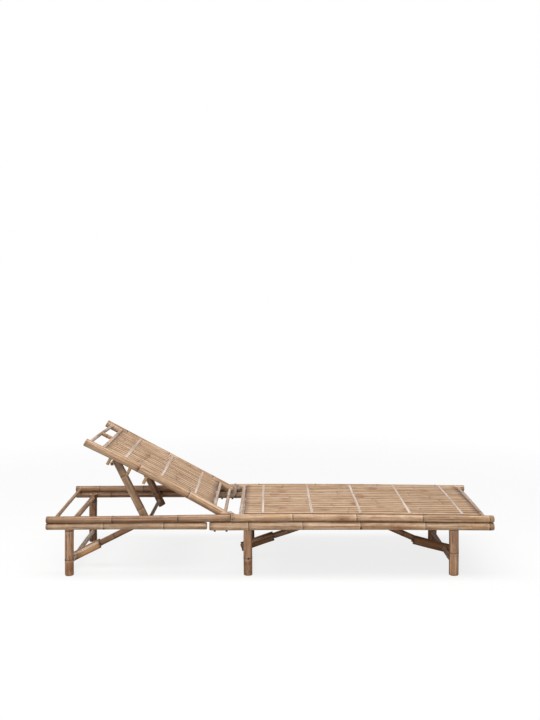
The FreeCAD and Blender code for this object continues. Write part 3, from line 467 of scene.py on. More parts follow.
    # each internode weathers a little differently
    cuts = sorted(nn[0] for nn in nodes)
    which = np.searchsorted(np.array(cuts), s_) if cuts else np.zeros(len(s_), int)
    steps = np.array([rng.uniform(-1, 1) for _ in range(len(cuts) + 1)])
    TONE = np.repeat((tone + patchy * steps[which])[:, None], seg, 1)
    SHADE = np.zeros(R.shape)
    # painted shade: each band darkens one side of the culm all along it, towards the shadow colour
    for ang, wid, k in shade_bands:
        da = np.degrees(np.angle(np.exp(1j * (TH - math.radians(ang)))))
        SHADE = np.maximum(SHADE, outer * k * np.exp(-(da / wid) ** 2) * (0.85 + 0.15 * np.sin(SS / 37 + ph[8])))
    # painted shade: each span darkens a stretch of the culm towards the shadow colour
    for s0, s1, k in shade_spans:
        e = 5.0
        SHADE = np.maximum(SHADE, outer * k / (1 + np.exp(-(SS - s0) / e)) / (1 + np.exp((SS - s1) / e)))
    STAIN = np.zeros(R.shape)
    for s, ang, ln, wid, k in stains:
        da = np.angle(np.exp(1j * (TH - math.radians(ang)))) * np.maximum(R, 1)
        STAIN = np.maximum(STAIN, outer * k * np.exp(-((SS - s) / ln) ** 2 - (da / wid) ** 2))
    # a sawn end is never quite square
    tilt_a, tilt_b = rng.uniform(-0.035, 0.035), rng.uniform(-0.035, 0.035)
    fa = np.clip(1 - SS / 10.0, 0, 1) * (SS < 10)
    fb = np.clip(1 - (L - SS) / 10.0, 0, 1) * (L - SS < 10)
    SS = SS + fa * np.abs(tilt_a) * (R * np.cos(TH - ph[6]) + r_[:, None]) - fb * np.abs(tilt_b) * (R * np.cos(TH - ph[7]) + r_[:, None])
    cx = np.zeros(R.shape)
    cy = np.zeros(R.shape)
    if bend:
        amp, ang = bend
        f = np.sin(PI * np.clip(SS / L, 0, 1)) * amp
        cx, cy = f * math.cos(math.radians(ang)), f * math.sin(math.radians(ang))
    if line is not None:
        dx, dy = line(SS)
        cx, cy = cx + dx, cy + dy
    X = R * np.cos(TH)
    Y = R * np.sin(TH)
    P = a + SS[..., None] * u + (X + cx)[..., None] * e1 + (Y + cy)[..., None] * e2
    seedv = V(rng.uniform(-400, 400), rng.uniform(-400, 400), rng.uniform(-4000, 4000))
    G = np.stack([X, Y, SS], -1) + seedv
    ri, k = np.meshgrid(np.arange(1, len(s_) - 2), np.arange(seg), indexing="ij")
    idx = lambda i, kk: i * seg + (kk % seg)
    quads = np.stack([idx(ri, k), idx(ri, k + 1), idx(ri + 1, k + 1), idx(ri + 1, k)], -1).reshape(-1, 4)
    qm = np.repeat(m_[1:len(s_) - 2], seg)
    fl = cutflag.ravel()
    allcut = fl[quads].all(1)
    qm = np.where(allcut, cut, qm)
    kk = np.arange(seg)
    # rows 0 and -1 are the two poles: every vertex of them sits on the axis, one is used
    t0 = np.stack([np.zeros(seg, int), idx(1, kk + 1), idx(1, kk)], -1)
    n = len(s_) - 1
    t1 = np.stack([idx(n - 1, kk), idx(n - 1, kk + 1), np.full(seg, n * seg)], -1)
    pts, gr = P.reshape(-1, 3), G.reshape(-1, 3)
    use = np.ones(len(pts), bool)
    use[1:seg] = False
    use[n * seg + 1:] = False
    remap = np.cumsum(use) - 1
    rim = np.zeros(R.shape)
    near_rim = (o_ == 0) & (r_ > r_.max() * 0.9)
    rim[near_rim] = 0.4
    S.add(pts[use], remap[quads], qm, remap[np.concatenate([t0, t1])],
          np.concatenate([np.full(seg, m_[0]), np.full(seg, m_[-1])]),
          grain=gr[use], nd=np.clip(ND, -60, 60).ravel()[use] * MM, bud=BUD.ravel()[use],
          tone=TONE.ravel()[use], hue=hue, edge=rim.ravel()[use], shade=SHADE.ravel()[use], stain=STAIN.ravel()[use])


def slat(S, o, u, w_ax, n_ax, length, width, thick, nodes, seed, tone, hue, knots=(), skin=None, stains=()):
    """A split, flattened strip: crowned skin side up, eased edges, node ridges across it."""
    rng = random.Random(seed * 104729 + 7)
    skin = S.slot_of(skin or SLAT)
    cut = S.slot_of(CUT)
    hw, t = width / 2, thick
    # section points, going round from the lower left edge: (across, up)
    sec = [(-hw + 0.9, 0.0), (-hw + 0.15, 0.7), (-hw, t * 0.45), (-hw + 0.1, t - 1.5), (-hw + 0.7, t - 0.62), (-hw + 2.2, t - 0.30),
           (-hw * 0.66, t - 0.12), (-hw * 0.33, t - 0.03), (0, t), (hw * 0.33, t - 0.03), (hw * 0.66, t - 0.12),
           (hw - 2.2, t - 0.30), (hw - 0.7, t - 0.62), (hw - 0.1, t - 1.5), (hw, t * 0.45), (hw - 0.15, 0.7), (hw - 0.9, 0.0),
           (hw * 0.4, 0.35), (-hw * 0.4, 0.35)]
    sec = np.array(sec)
    top = (sec[:, 1] > t - 1.0).astype(float)
    rimw = np.clip((np.abs(sec[:, 0]) - (hw - 3.4)) / 3.2, 0, 1)
    off = [-22, -12, -7, -4, -2, -1, -0.3, 0.3, 1, 1.8, 2.8, 4, 5.5, 8, 13, 22]
    st = list(np.arange(0, length, 26.0)) + [length]
    for n in nodes:
        st = [s for s in st if abs(s - n[0]) > 24 or s in (0, length)] + [n[0] + q for q in off]
    for s, yy, size in knots:
        st += [s + k * size for k in (-1.5, -0.8, 0, 0.8, 1.5)]
    for s, ln, k in stains:
        st += [s + k2 * ln for k2 in (-1.4, -1, -0.5, 0, 0.5, 1, 1.4)]
    st = sorted(s for s in st if 0 <= s <= length)
    keep = []
    for s in st:
        if not keep or s - keep[-1] > 0.25:
            keep.append(s)
    st = np.array(keep)
    st[-1] = length
    ss, yy = np.meshgrid(st, sec[:, 0], indexing="ij")
    hh = np.repeat(sec[None, :, 1], len(st), 0)
    TOP = np.repeat(top[None, :], len(st), 0)
    ph = [rng.uniform(0, 6.28) for _ in range(8)]
    side = np.sign(yy)
    edgew = np.clip((np.abs(yy) - hw * 0.5) / (hw * 0.5), 0, 1)
    yy = yy + side * edgew * (0.32 * np.sin(ss / 71 + ph[0] + side) + 0.22 * np.sin(ss / 29 + ph[1] - side) - 0.15)
    hh = hh + TOP * (0.10 * np.sin(ss / 120 + ph[2]) + 0.06 * np.sin(ss / 37 + ph[3] + yy / 9))
    ND = np.full(ss.shape, 1000.0)
    BUD = np.zeros(ss.shape)
    for j, (sn, ang, amp) in enumerate(nodes):
        d = ss - sn - (1.6 * (yy / hw) ** 2 + 0.5 * np.sin(yy / 4 + ph[4] + j)) * (1 if rng.random() < 0.8 else -1)
        hh = hh + TOP * amp * (0.10 * np.exp(-(d / 0.8) ** 2) - 0.26 * np.exp(-((d - 1.8) / 0.9) ** 2) + 0.16 * np.exp(-((d - 4.5) / 2.6) ** 2))
        near = np.abs(d) < np.abs(ND)
        ND = np.where(near, d, ND)
        if ang is not None:
            yb = (ang / 180.0 - 1) * hw * 0.8
            BUD = np.maximum(BUD, TOP * amp * np.exp(-((d - 3) / 2.6) ** 2 - ((yy - yb) / 2.8) ** 2))
    for s, yk, size in knots:
        hill = np.exp(-((ss - s) / size) ** 2 - ((yy - yk) / (size * 0.7)) ** 2)
        BUD = np.maximum(BUD, 0.62 * hill * TOP)
    STAIN = np.zeros(ss.shape)
    for s, ln, k in stains:
        STAIN = np.maximum(STAIN, TOP * k * np.exp(-((ss - s) / ln) ** 4) * (0.55 + 0.45 * np.cos(yy / 7 + ph[6])))
    hh = np.minimum(hh, t + 0.02)
    P = V(*o) + ss[..., None] * u + yy[..., None] * w_ax + hh[..., None] * n_ax
    seedv = V(rng.uniform(-400, 400), rng.uniform(-400, 400), rng.uniform(-4000, 4000))
    G = np.stack([yy, hh, ss], -1) + seedv
    m = len(sec)
    i, k = np.meshgrid(np.arange(len(st) - 1), np.arange(m), indexing="ij")
    flip = np.cross(w_ax, n_ax).dot(u) > 0
    a0, a1, b1, b0 = i * m + k, i * m + (k + 1) % m, (i + 1) * m + (k + 1) % m, (i + 1) * m + k
    quads = np.stack([a0, b0, b1, a1] if flip else [a0, a1, b1, b0], -1).reshape(-1, 4)
    # end caps: a fan to a middle point on each end
    pts, gr = P.reshape(-1, 3), G.reshape(-1, 3)
    c0, c1 = P[0].mean(0), P[-1].mean(0)
    pts = np.concatenate([pts, [c0, c1]])
    gr = np.concatenate([gr, [G[0].mean(0), G[-1].mean(0)]])
    kk = np.arange(m)
    n0, n1 = len(st) * m, len(st) * m + 1
    last = (len(st) - 1) * m
    ta = np.stack([np.full(m, n0), kk, (kk + 1) % m], -1)
    tb = np.stack([np.full(m, n1), last + (kk + 1) % m, last + kk], -1)
    if not flip:
        ta, tb = ta[:, ::-1], tb[:, ::-1]
    E = np.repeat(rimw[None, :], len(st), 0)
    endw = np.exp(-np.minimum(ss, length - ss) / 3.0)
    E = np.clip(np.maximum(E, 0.7 * endw), 0, 1)
    S.add(pts, quads, skin, np.concatenate([ta, tb]), cut, grain=gr,
          nd=np.concatenate([np.clip(ND, -60, 60).ravel(), [60, 60]]) * MM,
          bud=np.concatenate([BUD.ravel(), [0, 0]]), tone=tone, hue=hue, edge=np.concatenate([E.ravel(), [0, 0]]),
          stain=np.concatenate([STAIN.ravel(), [0, 0]]))


def ribbon(S, o, across, along, up, width, length, thick, seed, follow, nails=()):
    """A thin pale strip laid over the slats, with ragged edges, nailed down here and there."""
    rng = random.Random(seed * 31 + 5)
    m = S.slot_of(PALE)
    st = np.arange(0, length + 0.1, 5.5)
    st[-1] = length
    sec = np.array([(-0.5, 0.0), (-0.5, 0.55), (-0.44, 0.9), (-0.22, 1.0), (0, 1.02), (0.22, 1.0), (0.44, 0.9), (0.5, 0.55), (0.5, 0.0)])
    ss, xx = np.meshgrid(st, sec[:, 0], indexing="ij")
    hh = np.repeat(sec[None, :, 1], len(st), 0) * thick
    ph = [rng.uniform(0, 6.28) for _ in range(6)]
    w = width * (0.96 + 0.035 * np.sin(ss / 43 + ph[0]) + 0.03 * np.sin(ss / 17 + ph[1]))
    shift = 0.45 * np.sin(ss / 95 + ph[2]) + 0.25 * np.sin(ss / 31 + ph[3])
    xx = np.clip(xx * w + shift, -width / 2, width / 2)
    hh = np.minimum(hh + follow(ss), thick)
    P = V(*o) + ss[..., None] * along + xx[..., None] * across + hh[..., None] * up
    G = np.stack([xx, hh, ss], -1) + V(rng.uniform(-400, 400), 0, rng.uniform(-4000, 4000))
    k = len(sec)
    i, j = np.meshgrid(np.arange(len(st) - 1), np.arange(k), indexing="ij")
    flip = np.cross(across, up).dot(along) > 0
    a0, a1, b1, b0 = i * k + j, i * k + (j + 1) % k, (i + 1) * k + (j + 1) % k, (i + 1) * k + j
    quads = np.stack([a0, b0, b1, a1] if flip else [a0, a1, b1, b0], -1).reshape(-1, 4)
    pts, gr = P.reshape(-1, 3), G.reshape(-1, 3)
    n0, n1 = len(st) * k, len(st) * k + 1
    last = (len(st) - 1) * k
    kk = np.arange(k)
    ta = np.stack([np.full(k, n0), kk, (kk + 1) % k], -1)
    tb = np.stack([np.full(k, n1), last + (kk + 1) % k, last + kk], -1)
    if not flip:
        ta, tb = ta[:, ::-1], tb[:, ::-1]
    pts = np.concatenate([pts, [P[0].mean(0), P[-1].mean(0)]])
    gr = np.concatenate([gr, [G[0].mean(0), G[-1].mean(0)]])
    E = np.repeat(np.clip((np.abs(sec[:, 0]) - 0.36) / 0.14, 0, 1)[None, :], len(st), 0)
    S.add(pts, quads, m, np.concatenate([ta, tb]), m, grain=gr, tone=rng.uniform(-0.3, 0.4), hue=rng.uniform(-0.3, 0.3),
          edge=np.concatenate([E.ravel(), [0, 0]]))
    for s in nails:
        c = V(*o) + (s + rng.uniform(-2, 2)) * along + rng.uniform(-2.0, 2.0) * across + (thick - 0.35) * up
        dome(S, c, across, along, up, 1.7, 0.4)


def dome(S, c, a1, a2, up, r, h, mat=None):
    m = S.slot_of(mat or NAIL)
    seg, rows = 10, [(1.0, -0.5), (1.0, 0.35), (0.72, 0.8), (0.35, 0.97)]
    pts = [c + up * h]
    for rr, hh in rows[::-1]:
        for k in range(seg):
            t = 2 * PI * k / seg
            pts.append(c + a1 * r * rr * math.cos(t) + a2 * r * rr * math.sin(t) + up * h * hh)
    pts.append(c - up * h * 0.5)
    tri = [(0, 1 + k, 1 + (k + 1) % seg) for k in range(seg)]
    quads = []
    for i in range(len(rows) - 1):
        for k in range(seg):
            quads.append((1 + i * seg + k, 1 + (i + 1) * seg + k, 1 + (i + 1) * seg + (k + 1) % seg, 1 + i * seg + (k + 1) % seg))
    b = 1 + (len(rows) - 1) * seg
    tri += [(len(pts) - 1, b + (k + 1) % seg, b + k) for k in range(seg)]
    if np.cross(a1, a2).dot(up) < 0:
        tri = [t[::-1] for t in tri]
        quads = [q[::-1] for q in quads]
    S.add(np.array(pts), quads, m, tri, m, grain=np.array(pts))


def slab(S, o, u, v, w, outline, w0, w1, seed, tone=0, hue=0, skin_up=True, face=None, edge_mat=None, bow=0.0, rings=3):
    """A flat piece cut from a split culm: outline in (along, up), from w0 to w1 across.
    Its faces are the cut side; the outer rim keeps the skin."""
    rng = random.Random(seed * 17 + 3)
    face = S.slot_of(face or INNER)
    rim = S.slot_of(edge_mat or LEG)
    pts2 = np.array(outline, float)
    c = pts2.mean(0)
    n = len(pts2)
    area = 0.5 * sum(pts2[i, 0] * pts2[(i + 1) % n, 1] - pts2[(i + 1) % n, 0] * pts2[i, 1] for i in range(n))
    if area < 0:
        pts2 = pts2[::-1]
    # layers: face centre, inset rings on the low face, rim, inset rings on the high face
    inset = [(0.0, w0), (0.45, w0), (0.8, w0)]
    lay = []
    e = 1.1
    d = np.array([unit(p - c) for p in pts2])
    lay.append((c + (pts2 - c) * 0.45, w0))
    lay.append((pts2 - d * e * 2.2, w0))
    lay.append((pts2 - d * e * 0.9, w0 + 0.15))
    lay.append((pts2 - d * e * 0.25, w0 + e * 0.6))
    lay.append((pts2, w0 + e * 1.5))
    lay.append((pts2, (w0 + w1) / 2))
    lay.append((pts2, w1 - e * 1.5))
    lay.append((pts2 - d * e * 0.25, w1 - e * 0.6))
    lay.append((pts2 - d * e * 0.9, w1 - 0.15))
    lay.append((pts2 - d * e * 2.2, w1))
    lay.append((c + (pts2 - c) * 0.45, w1))
    mats = [face, face, face, rim, rim, rim, rim, face, face, face]
    P, G, E = [], [], []

    def put(p2, ww, ed):
        P.append(V(*o) + u * p2[0] + v * p2[1] + w * ww)
        G.append(V(p2[1], ww, p2[0]))
        E.append(ed)
    put(c, w0, 0)
    for j, (p, ww) in enumerate(lay):
        for q in p:
            put(q, ww, [0, 0.15, 0.7, 1, 0.5, 0.3, 0.5, 1, 0.7, 0.15, 0][j])
    put(c, w1, 0)
    quads, qm = [], []
    for i in range(len(lay) - 1):
        for k in range(n):
            quads.append((1 + i * n + k, 1 + (i + 1) * n + k, 1 + (i + 1) * n + (k + 1) % n, 1 + i * n + (k + 1) % n))
            qm.append(mats[i])
    tri = [(0, 1 + k, 1 + (k + 1) % n) for k in range(n)]
    b = 1 + (len(lay) - 1) * n
    tri += [(len(P) - 1, b + (k + 1) % n, b + k) for k in range(n)]
    # outline runs anticlockwise in (u, v); the w axis decides which way is out
    if np.cross(u, v).dot(w) > 0:
        quads = [q[::-1] for q in quads]
        tri = [t[::-1] for t in tri]
    P = np.array(P)
    G = np.array(G) + V(rng.uniform(-400, 400), rng.uniform(-400, 400), rng.uniform(-4000, 4000))
    S.add(P, quads, qm, tri, face, grain=G, tone=tone, hue=hue, edge=np.array(E))


def cheek(S, o, u, n_ax, side, x0, x1, h, y_in, y_out, seed, tone, hue, skin, notch, face=None):
    """One side of a brace link, cut from a big culm: a flat sawn face outside, and the
    culm's own skin rounding over its top edge."""
    rng = random.Random(seed * 53 + 11)
    face = S.slot_of(face or INNER)
    skin = S.slot_of(skin)
    W = V(0, side, 0)
    d = y_out - y_in
    sec = [(0, -h + 0.9), (0.8, -h), (d * 0.5, -h), (d - 0.9, -h), (d, -h + 1.0), (d, -h * 0.55), (d, -3.4), (d, -1.2), (d, 1.4), (d, 4.2),
           (d, h - 12.2), (d - 0.15, h - 10.6), (d - 0.7, h - 8.0), (d - 1.9, h - 5.2), (d - 3.7, h - 2.7), (d - 5.8, h - 0.95), (1.4, h - 0.1),
           (0.5, h - 0.4), (0, h - 1.2), (0, h * 0.5), (0, 4.2), (0, 1.4), (0, -1.2), (0, -3.4), (0, -h * 0.55)]
    smat = [face] * 10 + [skin] * 8 + [face] * 7
    sec = np.array(sec)
    m = len(sec)
    L = x1 - x0
    xs = np.array([0, 0.35, 1.2] + list(np.arange(8, L - 7, 9.0)) + [L - 1.2, L - 0.35, L])
    ins = np.zeros(len(xs))
    ins[[0, -1]] = 1.0
    ins[[1, -2]] = 0.42
    XX, K = np.meshgrid(xs, np.arange(m), indexing="ij")
    A, H = sec[K, 0].copy(), sec[K, 1].copy()
    I = np.repeat(ins[:, None], m, 1)
    A = A + I * np.sign(d / 2 - A) * np.where((A < 0.1) | (A > d - 0.1), 0.8, 0.3)
    H = H - I * np.sign(H) * np.where(np.abs(H) > h - 2.5, 0.9, 0.0)
    ph = [rng.uniform(0, 6.28) for _ in range(6)]
    H = H + np.where(H < -h + 2, 0.5 * np.sin(XX / 19 + ph[0]) * 0.5 + 0.25, 0) + np.where(H > h - 13, -0.35 + 0.35 * np.sin(XX / 31 + ph[1]), 0)
    # the tail is notched, the other end sawn square
    N = np.where(np.abs(H) < 4.6, notch * (1 - np.abs(H) / 4.6), 0) * np.exp(-XX / 9.0)
    X = x0 + XX + N + np.where(XX < 3, 0.05 * H * math.sin(ph[2]), 0) + np.where(XX > L - 3, 0.04 * H * math.sin(ph[3]), 0)
    A = np.clip(A + np.where(A > d - 0.2, -0.25 + 0.2 * np.sin(XX / 23 + ph[4]), 0), 0, d)
    P = V(*o) + X[..., None] * u + (y_in + A)[..., None] * W + H[..., None] * n_ax
    G = np.stack([H, A, XX], -1) + V(rng.uniform(-400, 400), rng.uniform(-400, 400), rng.uniform(-4000, 4000))
    n = len(xs)
    i, k = np.meshgrid(np.arange(n - 1), np.arange(m), indexing="ij")
    flip = np.cross(W, n_ax).dot(u) > 0
    a0, a1, b1, b0 = i * m + k, i * m + (k + 1) % m, (i + 1) * m + (k + 1) % m, (i + 1) * m + k
    quads = np.stack([a0, b0, b1, a1] if flip else [a0, a1, b1, b0], -1).reshape(-1, 4)
    qm = np.tile(np.array(smat), n - 1)
    pts, gr = P.reshape(-1, 3), G.reshape(-1, 3)
    pts = np.concatenate([pts, [P[0].mean(0), P[-1].mean(0)]])
    gr = np.concatenate([gr, [G[0].mean(0), G[-1].mean(0)]])
    kk = np.arange(m)
    ta = np.stack([np.full(m, n * m), kk, (kk + 1) % m], -1)
    tb = np.stack([np.full(m, n * m + 1), (n - 1) * m + (kk + 1) % m, (n - 1) * m + kk], -1)
    if not flip:
        ta, tb = ta[:, ::-1], tb[:, ::-1]
    E = np.exp(-np.minimum(XX, L - XX) / 3.0) + np.exp(-(H + h) / 2.2) * (A > d * 0.4) + 0.5 * np.exp(-np.abs(H - (h - 12.2)) / 1.2) * (A > d * 0.6)
    E = np.clip(E, 0, 1)
    # painted shade: the link is darkened towards both ends, where it meets other parts
    SH = np.exp(-XX / 10.0) * 0.6 + np.exp(-(L - XX) / 7.0) * 0.55
    cm = S.slot_of(DARKCUT)
    S.add(pts, quads, qm, np.concatenate([ta, tb]), cm, grain=gr, tone=tone, hue=hue, edge=np.concatenate([E.ravel(), [1, 1]]),
          shade=np.concatenate([np.clip(SH, 0, 1).ravel(), [0.5, 0.5]]))


# ------------------------------------------------------------ measured layout

RAIL_Y = 300.0


def lerp(x, x0, x1, a, b):
    return a + (b - a) * (x - x0) / (x1 - x0)


def camber(v):
    """The bed's poles rise a little between their ends, as the photographed ones do."""
    v = v.copy()
    t = np.clip((v[:, 0] + 175.0) / 1175.0, 0, 1)
    v[:, 2] += 3.6 * np.sin(PI * t) ** 0.9 * (0.4 + 0.6 * np.cos(PI * t * 0.5))
    return v


def slat_top(x):
    return 283.0 - 6.4 * (x + 119.5) / (938.0 + 119.5)


def foot_upper_z(x):
    return lerp(x, -175, 1000, 267.2, 262.2)


def head_upper_z(x):
    return lerp(x, -1000, -178.5, 258.6, 267.2)


FOOT_BAR_X = [-33.0, 189.0, 407.0, 630.0, 866.0]
PEG_FOOT = [-60.0, 275.0, 560.0, 915.0]
PEG_HEAD = [-932.0, -770.0, -420.0, -310.0]
ba = math.radians(152.0)
BU, BN, B0 = V(math.cos(ba), 0, math.sin(ba)), V(math.sin(ba), 0, -math.cos(ba)), V(-206, 0, 272)


def on_back(s, y, h):
    return B0 + BU * s + BN * h + V(0, y, 0)


RNG = random.Random(20)
rails = {}

# ------------------------------------------------------------------ side rails
# (name, body, x0, x1, z0, z1, ra, rb, nodes as (x, bud angle, strength) or None)
# painted shade: the far rails are given low tones (second-last column) that paint the shade they lie in
RAILS = [
    ("foot_upper_rail_near", "foot_frame", -1, -175, 1000, 267.2, 262.2, 17.0, 15.4,
     [(101, None, 1.1), (385, 115, 1.1), (680, None, 1.25), (978, 200, 0.5)], 0.05, 0.15),
    ("foot_upper_rail_far", "foot_frame", 1, -175, 1000, 267.2, 262.2, 17.0, 15.4,
     [(-60, None, 1.0), (232, 250, 1.0), (548, None, 1.0), (846, 260, 1.0)], -0.3, 0.1),
    ("foot_lower_rail_near", "foot_frame", -1, -271, 1000, 230.6, 229.0, 19.0, 17.5,
     [(-96, None, 0.9), (145, None, 0.9), (402, 22, 1.3), (692, None, 1.15), (978, 30, 0.4)], 0.3, -0.05),
    ("foot_lower_rail_far", "foot_frame", 1, -271, 1000, 230.6, 229.0, 19.0, 17.5,
     [(-180, 200, 1.0), (98, None, 1.0), (390, 150, 1.0), (700, None, 1.0)], -0.2, 0.0),
    ("head_upper_rail_near", "head_frame", -1, -1000, -178.5, 258.6, 267.2, 14.8, 16.2,
     [(-705, 36, 1.3), (-412, -12, 1.0)], -1.85, -0.1),
    ("head_upper_rail_far", "head_frame", 1, -1000, -178.5, 258.6, 267.2, 14.8, 16.2,
     [(-880, None, 1.0), (-655, 140, 1.0), (-398, None, 1.0)], -1.6, 0.4),
    ("head_lower_rail_near", "head_frame", -1, -1000, -281, 228.5, 232.0, 15.0, 16.2,
     [(-744, 42, 1.25), (-475, None, 1.1)], -0.4, -0.1),
    ("head_lower_rail_far", "head_frame", 1, -1000, -281, 228.5, 232.0, 15.0, 16.2,
     [(-820, None, 1.0), (-560, 100, 1.0)], -1.9, 0.7),
]
STAINS = {
    "foot_upper_rail_near": [(325 + 175, 20, 42, 15, 0.9), (640 + 175, 60, 30, 9, 0.5), (40 + 175, 100, 60, 6, 0.5)],
    "foot_lower_rail_near": [(580 + 271, 20, 38, 13, 0.8), (300 + 271, 60, 60, 6, 0.5), (880 + 271, 50, 50, 7, 0.45)],
    "head_upper_rail_near": [(760 - 540, 70, 70, 9, 0.7), (80, 60, 60, 8, 0.6)],
    "head_lower_rail_near": [(150, 80, 80, 7, 0.6), (620, 70, 60, 6, 0.5)],
}
for i, (name, body, side, x0, x1, z0, z1, ra, rb, nds, tone, hue) in enumerate(RAILS):
    S = Shape(POLE)
    marks = []
    if name == "foot_lower_rail_near":
        marks = [((-66) - x0, 25, 1.6, 0.5), ((-50) - x0, 12, 1.6, 0.5)]
    if name == "head_upper_rail_near":
        marks = [(-702 - x0, 37, 4.2, 0.4)]
    if name == "head_lower_rail_near":
        marks = [(-741 - x0, 42, 4.0, 0.4)]
    if name == "foot_lower_rail_near":
        marks.append((405.5 - x0, 22, 4.2, 0.4))
    upper = "upper" in name
    # the two poles of the head section bow towards each other
    bow = (1.3, 90 if upper else 270) if name.startswith("head") else None
    # painted shade: the two stacked poles are darkened where they touch; each rail is darkened towards both ends as
    # well
    shade_bands = [(90, 27, 0.9), (66, 16, 0.35)] if upper else [(270, 17, 0.5)]
    culm(S, (x0, side * RAIL_Y, z0), (x1, side * RAIL_Y, z1), ra, rb, nodes=[(x - x0, ang, amp) for x, ang, amp in nds],
         seed=11 + i, tone=tone, hue=hue, seg=40, depth=46, marks=marks, step=14, wall=0.66, fill=0.998 if bow else 0.982, shade_bands=shade_bands, bend=bow,
         shade_spans=[(-60, 9, 1.0), (x1 - x0 - 4, x1 - x0 + 60, 0.7)], stains=STAINS.get(name, ()), over=0.35, chamfer=2.4 if upper else 4.2)
    S.object(name + "_pole", body, "pole_culm", name, camber=camber if body == "foot_frame" else None)


def bar(name, body, slot, x, z, r, end, seed, nds=None, tone=0.0, hue=0.0, skin=None, x2=None, cut=None, camb=False, bend=0.8,
        hole=False, nodes=None):
    S = Shape(skin or POLE)
    rng = random.Random(seed)
    L = 2 * end
    culm(S, (x, -end, z), (x2 if x2 is not None else x, end, z), r, r * 0.985, nodes=nds if nds is not None else spread(rng, L, 235),
         seed=seed, seg=24, end_a="hollow" if hole else "solid", end_b="hollow" if hole else "solid", tone=tone, hue=hue, skin=skin,
         bend=(bend, rng.uniform(0, 360)), step=18, cut=cut, chamfer=1.2)
    return S.object(name + "_culm", body, slot, *(nodes or [name]), camber=camber if camb else None)


# --------------------------------------------------------- bars of the bed frame
S = Shape(POLE)
for i, x in enumerate(FOOT_BAR_X):
    z = slat_top(x) - 6.5 - 8 - 0.1
    rng = random.Random(60 + i)
    culm(S, (x, -296, z), (x, 296, z), 8, 7.9, nodes=spread(rng, 592, 210), seed=60 + i, seg=20, end_a="solid", end_b="solid",
         tone=rng.uniform(-0.5, 0.1), hue=rng.uniform(-0.4, 0.4), step=20, chamfer=1.0)
S.object("foot_slat_bars_culms", "foot_frame", "pole_culm", "foot_slat_bars", camber=camber)
bar("foot_panel_head_bar", "foot_frame", "grey_bar", -131, slat_top(-131) - 10, 10, 296, 71, nds=[(120, None, 1.0), (395, 330, 0.9)],
    tone=0.05, hue=-0.4, skin=GREY, camb=True)
bar("foot_end_bar", "foot_frame", "pole_culm", 962, foot_upper_z(967), 9.2, 296, 72, nds=[(90, 20, 1.0), (318, None, 0.9), (520, 40, 0.8)],
    tone=-0.5, hue=-0.3, skin=GREY, x2=972, camb=True)
bar("brace_anchor_bar", "foot_frame", "pole_culm", 398, 222, 7, 296, 73, tone=-0.4, camb=True)
bar("head_end_bar", "head_frame", "pole_culm", -962, 258.9, 8.6, 296, 74, nds=[(70, 40, 0.9), (318, 60, 1.4), (505, -40, 1.1)],
    tone=-0.9, hue=-0.3, skin=LEG, x2=-976)
bar("prop_pivot_bar", "head_frame", "pole_culm", -559, 224, 8.6, 296, 75, nds=[(150, 20, 1.0), (405, None, 0.9)], tone=0.6, hue=-0.2, skin=GREY)

# ------------------------------------------------------------- slats and strips
# nodes come in runs, because neighbouring slats are split from one culm
SLAT_NODES = [
    [150, 470, 812], [160, 474, 818], [166, 480, 806], [92, 408, 742, 1010], [98, 402, 748, 1016], [292, 618, 930],
    [286, 622, 934], [300, 604, 926], [210, 560, 884], [204, 566, 892], [120, 452, 796], [126, 446, 802],
    [330, 664, 985], [322, 672, 978], [176, 510, 846], [182, 502, 840]]
TONES = [0.15, 0.05, -0.12, 0.3, 0.1, -0.25, 0.0, 0.2, -0.1, 0.12, 0.28, -0.05, 0.1, -0.2, 0.05, 0.18]
HUES = [0.3, 0.1, 0.2, -0.1, 0.1, 0.45, 0.3, -0.15, 0.1, 0.35, -0.1, 0.15, 0.3, 0.1, 0.4, 0.0]
# rows counted from the near edge: (rows, x, half length, strength)
SEAT_BLOTS = [((4, 5), 392, 22, 1.0), ((8, 9), 433, 22, 0.95), ((10,), 440, 16, 0.8), ((3,), 512, 18, 0.8), ((13, 14), 515, 24, 0.85),
              ((2, 3), 60, 26, 0.6), ((6, 7), 70, 30, 0.8), ((11, 12), 62, 26, 0.75), ((14,), 52, 22, 0.6), ((9, 10), 20, 20, 0.5),
              ((5, 6), 640, 26, 0.75), ((2,), 620, 20, 0.5), ((12, 13), 770, 22, 0.45), ((7,), 905, 20, 0.4), ((1,), 250, 20, 0.5),
              ((11,), 245, 26, 0.45), ((4,), -60, 20, 0.4)]
S = Shape(SLAT)
pitch = 35.0
tl = math.atan2(6.4, 1057.5)
su, sn = V(math.cos(tl), 0, -math.sin(tl)), V(math.sin(tl), 0, math.cos(tl))
for i in range(16):
    rng = random.Random(200 + i)
    # the outer slats are a little wider and lie against the side poles
    wide = 3.4 if i in (0, 15) else 0.0
    y = (i - 7.5) * pitch + (wide / 2 if i else -wide / 2)
    s0, s1 = rng.uniform(0.2, 2.2), 1067.0 - rng.uniform(0.2, 2.6)
    o = V(-119.5, y, 283.0 - 6.5) + su * s0 - sn * rng.uniform(0.0, 0.25)
    nds = [(s - s0 + rng.uniform(-3, 3), rng.uniform(20, 340) if rng.random() < 0.45 else None, rng.uniform(0.6, 1.2)) for s in SLAT_NODES[i]]
    knots = [(rng.uniform(60, 1000), rng.uniform(-10, 10), rng.uniform(1.5, 2.6)) for _ in range(rng.choice([0, 1, 1, 2]))]
    # golden brown patches where a culm's node was split across neighbouring slats
    blots = [(x + 119.5 + rng.uniform(-6, 6), ln, k) for rows, x, ln, k in SEAT_BLOTS if i in rows]
    slat(S, o, su, V(0, 1, 0), sn, s1 - s0, 33.3 + wide, 6.5, nds, 300 + i, TONES[i] * 0.8 + rng.uniform(-0.12, 0.12), HUES[i], knots, stains=blots)
S.object("foot_slats_split", "foot_frame", "split_slat", "foot_slats", camber=camber)

